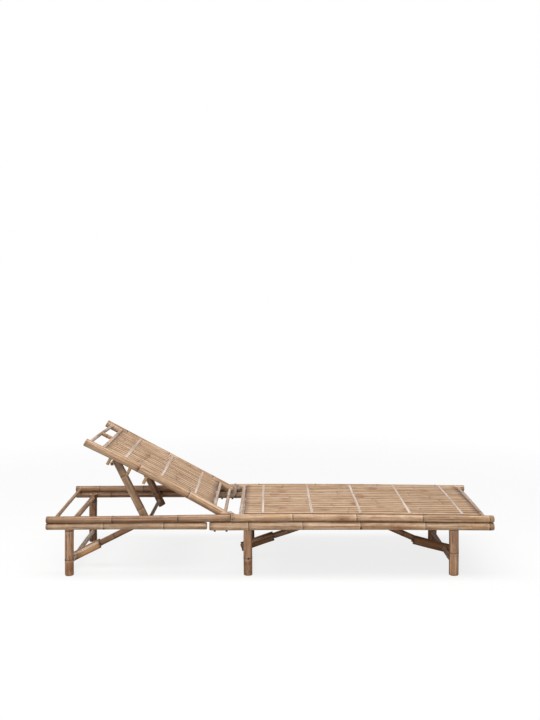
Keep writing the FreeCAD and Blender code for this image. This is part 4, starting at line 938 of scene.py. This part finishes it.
# painted shade: strips laid in the seams between the slats stand in for the shade in the gaps, so the floor does not
# show through
S = Shape(DARKPEG)
for i in range(15):
    ribbon(S, V(-117.5, (i - 7) * pitch, 283.0 - 4.6), V(0, 1, 0), su, sn, 2.6, 1060.0, 0.9, 1000 + i, lambda ss: 0.0 * ss)
S.object("foot_slat_seam_shade_strips", "foot_frame", "split_slat", camber=camber)

S = Shape(PALE)
for i, x in enumerate(FOOT_BAR_X):
    w = 16 * pitch - 1.2
    follow = lambda ss: -0.16 * (np.cos(2 * PI * (ss + 0.6) / pitch) > 0.93) - 0.05 * (1 + np.cos(2 * PI * ss / pitch))
    o = V(x, -w / 2, slat_top(x) + 0.06)
    ribbon(S, o, su, V(0, 1, 0), sn, 13.6, w, 1.3, 400 + i, follow,
           nails=[pitch * (k + 0.5) for k in ([0, 4, 9, 15], [1, 6, 11, 15], [0, 5, 10, 14], [0, 4, 8, 13, 15], [1, 7, 12, 15])[i]])
S.object("foot_slat_strips", "foot_frame", "pale_binding", "foot_slat_bindings", camber=camber)

# ---------------------------------------------------------------- pegs, dowels
S = Shape(DARKPEG)
for side in (-1, 1):
    for j, x in enumerate(PEG_FOOT):
        culm(S, (x, side * 300, 228.5), (x, side * 300, 267.5), 4, 4, seed=500 + j + side, seg=14, end_a="solid", end_b="solid",
             skin=DARKPEG, cut=PEGCUT, chamfer=0.8, step=10)
S.object("foot_rail_pegs_turned", "foot_frame", "dark_peg", "foot_rail_pegs")
S = Shape(DARKPEG)
for side in (-1, 1):
    for j, x in enumerate(PEG_HEAD):
        culm(S, (x, side * 300, 226.5), (x, side * 300, 260), 4, 4, seed=520 + j + side, seg=14, end_a="solid", end_b="solid",
             skin=DARKPEG, cut=PEGCUT, chamfer=0.8, step=10)
S.object("head_rail_pegs_turned", "head_frame", "dark_peg", "head_rail_pegs")
S = Shape(DARKPEG)
for side in (-1, 1):
    for j, x in enumerate((-247.0, -194.0)):
        culm(S, (x, side * 300, 206), (x, side * 300, 241.5), 5, 4.8, seed=540 + j + side, seg=16, end_a="solid", end_b="solid",
             skin=DARKPEG, cut=PEGCUT, chamfer=1.4, step=10)
S.object("joint_dowels_turned", "foot_frame", "dark_peg", "joint_dowels")

# -------------------------------------------------------------- folding hinge
hx, hz = -176.5, 285.0


def arc(cx, cz, r, a0, a1, n):
    return [(cx + r * math.cos(math.radians(a0 + (a1 - a0) * i / n)), cz + r * math.sin(math.radians(a0 + (a1 - a0) * i / n))) for i in range(n + 1)]


def dense(pts, gap=5.0):
    out = []
    for i, p in enumerate(pts):
        q = pts[(i + 1) % len(pts)]
        d = math.dist(p, q)
        k = max(1, int(d / gap))
        out += [(p[0] + (q[0] - p[0]) * j / k, p[1] + (q[1] - p[1]) * j / k) for j in range(k)]
    return out


foot_lug = [(-154.0, 260.0), (-154.0, 279.5)] + arc(hx, hz, 7.0, 80, 250, 12) + [(-173.0, 260.0)]
head_lug = [(-184.0, 224.0), (-171.0, 245.0)] + arc(hx, hz, 6.6, -10, 100, 10) + [(-222.0, 284.0), (-223.5, 246.0), (-206.0, 224.0)]
EX, EZ = V(1, 0, 0), V(0, 0, 1)
S, S2, S3, S4, S5 = Shape(LEG), Shape(LEG), Shape(DARKPEG), Shape(DARKPEG), Shape(DARKPEG)
for side in (-1, 1):
    W = V(0, side, 0)
    slab(S, (0, 0, 0), EX, EZ, W, dense(foot_lug), 277.9, 282.4, 600 + side, tone=0.7, hue=-0.3, face=GREY)
    slab(S2, (0, 0, 0), EX, EZ, W, dense(head_lug), 273.0, 277.5, 610 + side, tone=0.6, hue=-0.2, face=GREY)
    slab(S2, (0, 0, 0), EX, EZ, W, dense([(-186.5, 249.0), (-186.5, 283.2), (-221.5, 283.2), (-222.0, 249.0)]), 277.4, 283.2, 620 + side, tone=-0.1, face=LEG)
    culm(S3, (hx, side * 273.2, hz), (hx, side * 282.3, hz), 3.5, 3.5, seed=630 + side, seg=16, end_a="solid", end_b="solid",
         skin=DARKPEG, cut=PEGCUT, chamfer=0.7, step=4, fill=0.99)
    for x, z in ((-166.0, 265.0), (-158.5, 272.0)):
        ye = 300 + 17.0 + 0.7
        culm(S4, (x, side * 278.3, z), (x, side * ye, z), 2.5, 2.5, seed=640 + side, seg=12, end_a="solid", end_b="solid",
             skin=DARKPEG, cut=PEGCUT, chamfer=0.6, step=8, fill=0.99)
    for x, z in ((-217.0, 256.0), (-191.3, 260.0)):
        culm(S5, (x, side * 275.2, z), (x, side * 315.5, z), 2.5, 2.5, seed=650 + side, seg=12, end_a="solid", end_b="solid",
             skin=DARKPEG, cut=PEGCUT, chamfer=0.6, step=8, fill=0.99)
S.object("foot_hinge_lugs_split", "foot_frame", "split_culm", "foot_hinge_lugs")
S2.object("head_hinge_lugs_split", "head_frame", "split_culm", "head_hinge_lugs")
S3.object("hinge_pins_turned", "foot_frame", "dark_peg", "hinge_pins")
S4.object("foot_lug_pegs_turned", "foot_frame", "dark_peg", "foot_lug_pegs")
S5.object("head_lug_pegs_turned", "head_frame", "dark_peg", "head_lug_pegs")

# -------------------------------------------------------------------- backrest


def near_bow(ss):
    """The near pole of the backrest is a bent one: arched, and lower at its top end."""
    k = np.interp(ss, [0, 90, 200, 380, 520, 640, 728], [-3.0, 0.5, 2.6, 2.8, 0.2, -4.6, -8.2])
    return np.zeros_like(k), -k


for side, name in ((-1, "near"), (1, "far")):
    S = Shape(POLE)
    a, b = on_back(-18, side * 253, 0), on_back(710, side * 253, 0)
    # angle 0 faces near; angle 90 points along -BN on this axis
    if side < 0:
        nds = [(201, 200, 0.8), (455, 8, 1.15)]
    else:
        nds = [(120, None, 1.0), (372, 250, 1.0), (612, None, 0.9)]
    u, e1, e2 = axes_of(b - a)
    sgn = 1.0 if e2.dot(BN) > 0 else -1.0
    bow = (lambda ss, sg=sgn: (np.zeros_like(ss), -near_bow(ss)[1] * sg)) if side < 0 else None
    low = 90.0 if e2[2] < 0 else 270.0
    # painted shade: each pole is darkened along its underside (angle low) and at its top end; on the near pole the
    # first three stains run along the underside and paint it browner and darker, the last marks the knot
    culm(S, a, b, 19, 18, nodes=nds, seed=700 + side, seg=40, tone=-0.2, hue=0.1, depth=30, step=14, line=bow,
         chamfer=2.6, marks=[(455 + 4, 6, 3.4, 0.5)] if side < 0 else [], shade_bands=[(low, 30, 0.4)], shade_spans=[(722, 800, 0.6)],
         stains=[(690, low - 20, 60, 16, 1.0), (560, low, 70, 9, 0.7), (330, low, 60, 7, 0.5), (460, 6, 11, 10, 1.4)] if side < 0 else [], fill=0.98)
    S.object("backrest_rail_%s_pole" % name, "backrest", "pole_culm", "backrest_rail_" + name)


def back_drop(v):
    """The near edge of the panel follows the bent near pole."""
    v = v.copy()
    y = v[:, 1]
    s = (v - B0) @ BU
    w = np.clip((0 - y) / 253.0, 0, 1) ** 1.5
    k = np.interp(s + 18, [0, 90, 200, 380, 520, 640, 728], [-3.0, 0.5, 2.6, 2.8, 0.2, -4.6, -8.2])
    v += (w * k)[:, None] * BN
    return v


def back_bar(name, slot, s, h, r, seed, nds=None, skin=None, tone=0.0, hue=0.0, s2=None, end=250, nodes=None):
    S = Shape(skin or POLE)
    rng = random.Random(seed)
    a, b = on_back(s, -end, h), on_back(s2 if s2 is not None else s, end, h)
    culm(S, a, b, r, r * 0.98, nodes=nds if nds is not None else spread(rng, 2 * end, 220), seed=seed, seg=24, end_a="solid", end_b="solid",
         skin=skin, tone=tone, hue=hue, bend=(0.6, rng.uniform(0, 360)), step=12, chamfer=1.2)
    return S.object(name + "_culm", "backrest", slot, *(nodes or [name]), camber=back_drop)


S = Shape(GREY)
culm(S, (-205, -296, 267), (-205, 296, 267), 8, 7.9, nodes=[(135, None, 0.9), (380, 10, 1.0)], seed=720, seg=24, end_a="solid", end_b="solid",
     skin=GREY, tone=-0.7, hue=0.0, step=18, chamfer=1.2)
S.object("backrest_pivot_bar_culm", "backrest", "pole_culm", "backrest_pivot_bar")
back_bar("backrest_bottom_bar", "grey_bar", 55, 3, 9, 721, nds=[(160, 90, 0.9), (402, None, 1.0)], skin=GREY, tone=-0.2, hue=-0.2)
back_bar("backrest_panel_bar", "pole_culm", 625, 3.5, 9.4, 722, nds=[(110, None, 0.9), (345, 60, 1.0)], skin=GREY, tone=0.1, hue=-0.3)
back_bar("backrest_top_bar", "pole_culm", 692, 2.6, 8.2, 723, nds=[(180, None, 0.8), (420, 10, 0.9)], skin=GREY, tone=0.0, hue=-0.4, s2=678)
S = Shape(POLE)
for i, s in enumerate((160.0, 332.0, 516.0)):
    rng = random.Random(730 + i)
    culm(S, on_back(s, -250, -0.6), on_back(s, 250, -0.6), 6, 5.9, nodes=spread(rng, 500, 200), seed=730 + i, seg=20, end_a="solid", end_b="solid",
         tone=rng.uniform(-0.4, 0.0), step=12, chamfer=1.0)
S.object("backrest_slat_bars_culms", "backrest", "pole_culm", "backrest_slat_bars", camber=back_drop)
S = Shape(GOLD)
sa, sb = on_back(625, 0, 3.5), on_back(685, 0, 2)
du = unit(sb - sa)
# painted shade: the strut is darkened on its far side (angle 180)
culm(S, sa + du * 7.4, sb - du * 5.6, 9.2, 9.0, nodes=[(20, 330, 1.2)], seed=740, seg=24, end_a="solid", end_b="solid", skin=GOLD,
     tone=-0.7, step=8, chamfer=0.6, fill=0.99, shade_bands=[(180, 50, 0.8)])
S.object("backrest_strut_culm", "backrest", "golden_peg", "backrest_strut")

BN_NODES = [
    [120, 390], [124, 386], [196, 376], [200, 371], [206, 368, 520], [204, 365, 528], [96, 372], [92, 366], [300, 505],
    [296, 512], [160, 430], [154, 436], [250, 470], [256, 462]]
BACK_BLOTS = [((4, 5), 448, 16, 0.9), ((6, 7), 440, 14, 0.8), ((8,), 436, 12, 0.6), ((3, 4), 262, 16, 0.7), ((6,), 255, 14, 0.7), ((10, 11), 330, 20, 0.5)]
S = Shape(SLAT)
bp = 33.4
for i in range(14):
    rng = random.Random(760 + i)
    y = (i - 6.5) * bp
    s0, s1 = 65.5 + rng.uniform(0.2, 1.8), 615.0 - rng.uniform(0.2, 1.8)
    nds = [(s - (s0 - 65.5) + rng.uniform(-2, 2), rng.uniform(20, 340) if rng.random() < 0.6 else None, rng.uniform(0.8, 1.4)) for s in BN_NODES[i]]
    knots = [(rng.uniform(30, 520), rng.uniform(-9, 9), rng.uniform(1.5, 2.6)) for _ in range(rng.choice([0, 1, 2]))]
    blots = [(s - s0 + rng.uniform(-5, 5), ln, k) for rows, s, ln, k in BACK_BLOTS if i in rows]
    slat(S, on_back(s0, y, 5.5 - rng.uniform(0, 0.2)), BU, V(0, 1, 0), BN, s1 - s0, 31.5, 6.5, nds, 780 + i,
         rng.uniform(-0.4, 0.4), rng.uniform(-0.2, 0.45), knots, stains=blots)
S.object("backrest_slats_split", "backrest", "split_slat", "backrest_slats", camber=back_drop)
# painted shade: strips laid in the seams between the slats stand in for the shade in the gaps, so the floor does not
# show through
S = Shape(DARKPEG)
for i in range(13):
    ribbon(S, on_back(68.0, (i - 6) * bp, 7.6), V(0, 1, 0), BU, BN, 2.6, 545.0, 0.9, 1020 + i, lambda ss: 0.0 * ss)
S.object("backrest_slat_seam_shade_strips", "backrest", "split_slat", camber=back_drop)
S = Shape(PALE)
for i, s in enumerate((160.0, 332.0, 516.0)):
    w = 14 * bp - 1.2
    follow = lambda ss: -0.05 * (1 + np.cos(2 * PI * ss / bp))
    ribbon(S, on_back(s, -w / 2, 12.06), BU, V(0, 1, 0), BN, 14.4, w, 1.3, 800 + i, follow,
           nails=[bp * (k + 0.5) for k in ([0, 5, 9, 13], [1, 4, 8, 12], [0, 3, 7, 13])[i]])
S.object("backrest_strips", "backrest", "pale_binding", "backrest_bindings", camber=back_drop)
S = Shape(GOLD)
for side in (-1, 1):
    for j, s in enumerate((389.0, 473.0, 572.8)):
        culm(S, on_back(s, side * 253, -8), on_back(s, side * 253, -51), 7.5, 7.4, nodes=[(30, 40 + 90 * j, 0.7)] if j == 1 else [], seed=820 + 3 * side + j,
             seg=22, end_a="solid", end_b="hollow", skin=GOLD, depth=6, wall=0.42, tone=0.25 - 0.2 * j, step=7, chamfer=1.2)
S.object("prop_stop_pegs_turned", "backrest", "golden_peg", "prop_stop_pegs")

# ------------------------------------------------------------------------ prop
P0 = V(-559, 0, 224)
pa = math.radians(63.3)
PU, PN = V(-math.cos(pa), 0, math.sin(pa)), V(-math.sin(pa), 0, -math.cos(pa))
P1 = P0 + PU * 314.3 + PN * 18.1
# painted shade: the far pole gets a much lower tone (-2.4) for the shade it stands in; both poles are darkened on their
# upper and lower sides (angles 90 and 270) and towards both ends
for side, name, tail, nds, tn in ((-1, "near", 24.0, [(96, None, 0.8), (262, None, 0.8)], -0.45), (1, "far", 33.0, [(70, None, 0.9), (208, 330, 1.1), (330, None, 0.6)], -2.4)):
    S = Shape(POLE)
    a, b = P0 - PU * tail + V(0, side * 215.5, 0), P0 + PU * 325 + V(0, side * 215.5, 0)
    culm(S, a, b, 18, 17.6, nodes=nds, seed=840 + side, seg=36, tone=tn, hue=0.1, depth=14, step=12, chamfer=2.2, end_b="solid", oval=0.018,
         bend=(0.8, 120), shade_spans=[(290, 400, 0.7), (-60, 4, 0.7)], shade_bands=[(90, 34, 0.5), (270, 26, 0.35)], fill=0.98,
         stains=[(150, 40, 60, 8, 0.8), (40, 340, 40, 7, 0.6), (240, 60, 40, 8, 0.6)])
    S.object("prop_pole_%s_culm" % name, "prop", "pole_culm", "prop_pole_" + name)
S = Shape(GREY)
culm(S, (P1[0], -241.5, P1[2]), (P1[0], 241.5, P1[2]), 9, 8.8, nodes=[(12, None, 0.5), (190, 20, 1.0), (404, None, 1.0)], seed=850, seg=26, depth=16,
     skin=GREY, tone=0.1, hue=0.2, step=16, chamfer=1.4, wall=0.5)
S.object("prop_top_bar_culm", "prop", "pole_culm", "prop_top_bar")

# ------------------------------------------------------------------------ legs
LEG_STAINS = {
    "head": [(32, 20, 38, 22, 0.95), (120, 330, 50, 6, 0.7), (20, 300, 20, 12, 0.8)],
    "middle": [(58, 0, 16, 60, 0.95), (28, 15, 30, 18, 0.9), (130, 350, 45, 6, 0.7)],
    "foot": [(92, 0, 9, 60, 0.45), (40, 330, 30, 7, 0.5), (150, 20, 40, 7, 0.5)],
}
LEGS = {
    "head": (-904.0, 263.0, 20.0, 52.0, [(69, -50, 1.3), (199, None, 0.9)], [(84, 130, 1.0), (201, None, 0.9)], 0.85),
    "middle": (-99.0, 259.5, 20.0, 58.0, [(75, 8, 1.1), (207, 14, 1.0)], [(96, None, 1.0), (205, 210, 1.0)], 0.9),
    "foot": (829.0, 258.4, 22.0, 52.0, [(100, None, 1.0), (203, None, 1.0)], [(70, None, 1.0), (190, 60, 1.0)], 1.0),
}
for j, (key, (lx, ly, lr, cz, near, far, tn)) in enumerate(LEGS.items()):
    for side, name, nds in ((-1, "near", near), (1, "far", far)):
        S = Shape(LEG)
        # painted shade: the far legs get tones 2.7 to 3.6 lower than the near ones for the shade under the bed; every
        # leg is darkened at its top under the rail, at its foot and on its two sides (angles 90 and 270), and the head
        # and middle legs also on their lowest 63 mm
        culm(S, (lx, side * ly, 0), (lx, side * ly, 242), lr, lr, nodes=nds, seed=860 + 7 * j + side, seg=36, skin=LEG,
             tone=tn if side < 0 else tn - (2.7 if key == "head" else 3.6), hue=0.1, depth=26, step=9, chamfer=2.6, oval=0.014, grow=1, end_b="hollow",
             bend=(1.0, 90 if key == "foot" else 250), wall=0.62, shade_spans=[(206, 300, 0.72), (-50, 2.5, 0.8)] + ([(-20, 63, 0.26)] if key != "foot" else []), shade_bands=[(90, 24, 0.42), (270, 20, 0.3)],
             stains=LEG_STAINS[key] if side < 0 else (), fill=0.975)
        S.object("%s_leg_%s_culm" % (key, name), key + "_legs", "leg_culm", "%s_leg_%s" % (key, name))
    S = Shape(POLE)
    y1 = ly + lr
    # thick between the legs, a thinner whittled tenon at each end
    L = 2 * 297.0
    t0 = 297.0 - y1
    tone_p = -0.1
    rng = random.Random(880 + j)
    culm(S, (lx, -297, 224), (lx, -y1 + 1, 224), 7.5, 7.5, seed=880 + j, seg=20, end_a="solid", end_b="solid", skin=LEG, tone=tone_p, step=6, chamfer=1.0)
    culm(S, (lx, y1 - 1, 224), (lx, 297, 224), 7.5, 7.5, seed=884 + j, seg=20, end_a="solid", end_b="solid", skin=LEG, tone=tone_p, step=6, chamfer=1.0)
    culm(S, (lx, -y1, 224), (lx, y1, 224), 12, 11.9, nodes=spread(rng, 2 * y1, 225), seed=888 + j, seg=28, end_a="solid", end_b="solid", skin=LEG,
         tone=tone_p + 0.1, hue=-0.2, step=16, chamfer=2.0, bend=(0.5, 40))
    S.object(key + "_leg_pivot_bar_culm", key + "_legs", "pole_culm", key + "_leg_pivot_bar")
    S = Shape(LEG)
    culm(S, (lx, -(ly + 4), cz), (lx, ly + 4, cz), 11, 10.8, nodes=spread(rng, 2 * ly, 200), seed=892 + j, seg=28, end_a="solid", end_b="solid", skin=GREY if key == "head" else LEG,
         tone=0.1 if key == "head" else -0.2, hue=-0.5, step=16, bend=(0.6, 200))
    S.object(key + "_leg_crossbar_culm", key + "_legs", "pole_culm", key + "_leg_crossbar")

# ---------------------------------------------------------------- folding braces
# painted shade: the middle and foot links get a low tone (-2.8) and the three rods low tones (-2.1, -2.4, -2.4), which
# paint the shade under the bed
BRACES = {
    "head": (1, V(-904, -140, 52), V(-559, -140, 224), 103.6, 26.0, 26.4, 0.9, 0.2),
    "middle": (1, V(-99, 21, 58), V(398, 21, 222), 96.4, 26.0, 18.8, -2.8, 0.2),
    "foot": (-1, V(829, -10, 52), V(398, -10, 222), 102.6, 46.0, 14.3, -2.8, 0.2),
}
for j, (key, (toward, C0, F0, link, over, ang, tn, hu)) in enumerate(BRACES.items()):
    a = math.radians(ang)
    LU = V(toward * math.cos(a), 0, math.sin(a))
    LN = V(-toward * math.sin(a), 0, math.cos(a))
    K0 = C0 + LU * link
    reach, h, tail = link + over, 17.5, 42.0
    body = key + "_brace_lower_link"
    S = Shape(INNER)
    for side in (-1, 1):
        cheek(S, C0, LU, LN, side, -tail + (0.6 if side < 0 else 0.2), reach - (0.2 if side < 0 else 0.7), h - 0.15, 14.95, 23.35, 900 + 3 * j + side,
              tn, hu, GREY if key == "head" else LEG, 7.0 if key == "middle" else 4.5)
    S.object(key + "_brace_link_split", body, "split_culm", key + "_brace_link")
    S = Shape(DARKPEG)
    for side in (-1, 1):
        culm(S, K0 + V(0, side * 15.1, 0), K0 + V(0, side * 25.2, 0), 5, 4.9, seed=920 + 3 * j + side, seg=18, end_a="solid", end_b="solid",
             skin=DARKPEG if key != "head" else INNER, cut=PEGCUT if key != "head" else CUT, chamfer=1.2, step=4, fill=0.99)
    S.object(key + "_knee_pins_turned", body, "dark_peg", key + "_knee_pins")
    RU = unit(F0 - K0)
    S = Shape(LEG)
    st, L = K0 - RU * 12.0, float(np.linalg.norm(F0 - K0)) + 12 + 13.8
    u, e1, e2 = axes_of(RU)
    # which angle of the rod looks down in the plane of the brace
    down = math.degrees(math.atan2(V(0, 0, -1).dot(e2), V(0, 0, -1).dot(e1)))
    sh = over + 14.0
    # inside the link the rod is whittled to a tongue
    shoulder = lambda s, sh=sh: 3.0 if s < sh - 8 else 3.0 + (s - sh + 8) / 10.0 * 11.0
    rng = random.Random(930 + j)
    nds = spread(rng, L, 190, first=110)
    # painted shade: the rod is darkened on its underside (angle down) and on the stretch inside the link
    culm(S, st, st + RU * L, 13.8, 13.6, nodes=nds, seed=930 + j, seg=32, skin=LEG, tone=(-2.1, -2.4, -2.4)[j], hue=0.0, end_a="solid", end_b="solid",
         clip=[(down, 0.0, sh + 4.0, shoulder), (down + 180, 0.0, sh * 0.9, lambda s: 11.5)], step=12, chamfer=2.0, cut=DARKCUT, fill=0.985,
         shade_bands=[(down, 50, 0.45)], shade_spans=[(-50, sh + 6, 0.7)])
    S.object(key + "_brace_rod_culm", key + "_brace_upper_link", "pole_culm", key + "_brace_rod")

# ------------------------------------------------------------ stage and lights
me = bpy.data.meshes.new("floor")
R = 4.0
n = 96
me.from_pydata([(R * math.cos(2 * PI * k / n), R * math.sin(2 * PI * k / n), 0) for k in range(n)], [], [tuple(range(n))])
floor = bpy.data.objects.new("floor", me)
scene.collection.objects.link(floor)
g = Graph("pale_floor")
lpn = g.t.nodes.new("ShaderNodeLightPath")
g.put(g.p.inputs["Base Color"], g.mix(lpn.outputs["Is Camera Ray"], (0.42, 0.42, 0.42, 1), (0.92, 0.92, 0.92, 1)))
g.p.inputs["Roughness"].default_value = 0.95
g.p.inputs["Specular IOR Level"].default_value = 0.0
# the floor thins out into the white surroundings, away from the furniture
tc = g.t.nodes.new("ShaderNodeTexCoord")
ln = g.t.nodes.new("ShaderNodeVectorMath")
ln.operation = "LENGTH"
g.t.links.new(tc.outputs["Object"], ln.inputs[0])
fade = g.span(ln.outputs["Value"], 1.5, 3.6)
tr = g.t.nodes.new("ShaderNodeBsdfTransparent")
ms = g.t.nodes.new("ShaderNodeMixShader")
# seen directly, the floor is partly lit from within, like a studio's lit sweep
em = g.t.nodes.new("ShaderNodeEmission")
em.inputs[0].default_value = (1, 1, 1, 1)
em.inputs[1].default_value = 1.0
glow = g.t.nodes.new("ShaderNodeMixShader")
g.t.links.new(g.math("MULTIPLY", lpn.outputs["Is Camera Ray"], 0.8), glow.inputs[0])
g.t.links.new(g.p.outputs[0], glow.inputs[1])
g.t.links.new(em.outputs[0], glow.inputs[2])
g.t.links.new(fade, ms.inputs[0])
g.t.links.new(glow.outputs[0], ms.inputs[1])
g.t.links.new(tr.outputs[0], ms.inputs[2])
g.t.links.new(ms.outputs[0], g.out.inputs[0])
me.materials.append(g.mat)

world = bpy.data.worlds.new("studio")
scene.world = world
world.use_nodes = True
nt = world.node_tree
nt.nodes.clear()
wo = nt.nodes.new("ShaderNodeOutputWorld")
mixw = nt.nodes.new("ShaderNodeMixShader")
lp = nt.nodes.new("ShaderNodeLightPath")
amb = nt.nodes.new("ShaderNodeBackground")
amb.inputs[0].default_value = (1.0, 1.0, 1.0, 1)
amb.inputs[1].default_value = 0.36
seen = nt.nodes.new("ShaderNodeBackground")
seen.inputs[0].default_value = (1, 1, 1, 1)
seen.inputs[1].default_value = 1.0
nt.links.new(lp.outputs["Is Camera Ray"], mixw.inputs[0])
nt.links.new(amb.outputs[0], mixw.inputs[1])
nt.links.new(seen.outputs[0], mixw.inputs[2])
nt.links.new(mixw.outputs[0], wo.inputs[0])


def area(name, loc, aim, sx, sy, watts, colour=(1, 1, 1)):
    d = bpy.data.lights.new(name, "AREA")
    d.shape = "RECTANGLE"
    d.size, d.size_y = sx, sy
    d.energy = watts
    d.color = colour
    o = bpy.data.objects.new(name, d)
    scene.collection.objects.link(o)
    o.location = loc
    from_to = V(*aim) - V(*loc)
    z = -unit(from_to)
    x = unit(np.cross(V(0, 1, 0.001), z)) if abs(z[1]) < 0.99 else V(1, 0, 0)
    y = np.cross(z, x)
    import mathutils
    o.rotation_euler = mathutils.Matrix([[x[0], y[0], z[0]], [x[1], y[1], z[1]], [x[2], y[2], z[2]]]).to_euler()
    return o


area("top_softbox", (-0.2, -0.6, 3.2), (0, -0.1, 0.2), 4.4, 1.6, 108, (1.0, 0.99, 0.975))
area("front_fill", (-1.2, -4.8, 1.0), (0, 0, 0.15), 2.8, 1.4, 84, (1.0, 0.985, 0.965))

cam_d = bpy.data.cameras.new("camera")
cam = bpy.data.objects.new("camera", cam_d)
scene.collection.objects.link(cam)
cam.location = (0, -4.163, 1.285)
cam.rotation_euler = (math.radians(90), 0, 0)
cam_d.sensor_width = 36
cam_d.lens = 43.25
cam_d.shift_y = -0.0972
cam_d.clip_end = 200
scene.camera = cam
scene.view_settings.view_transform = "Standard"
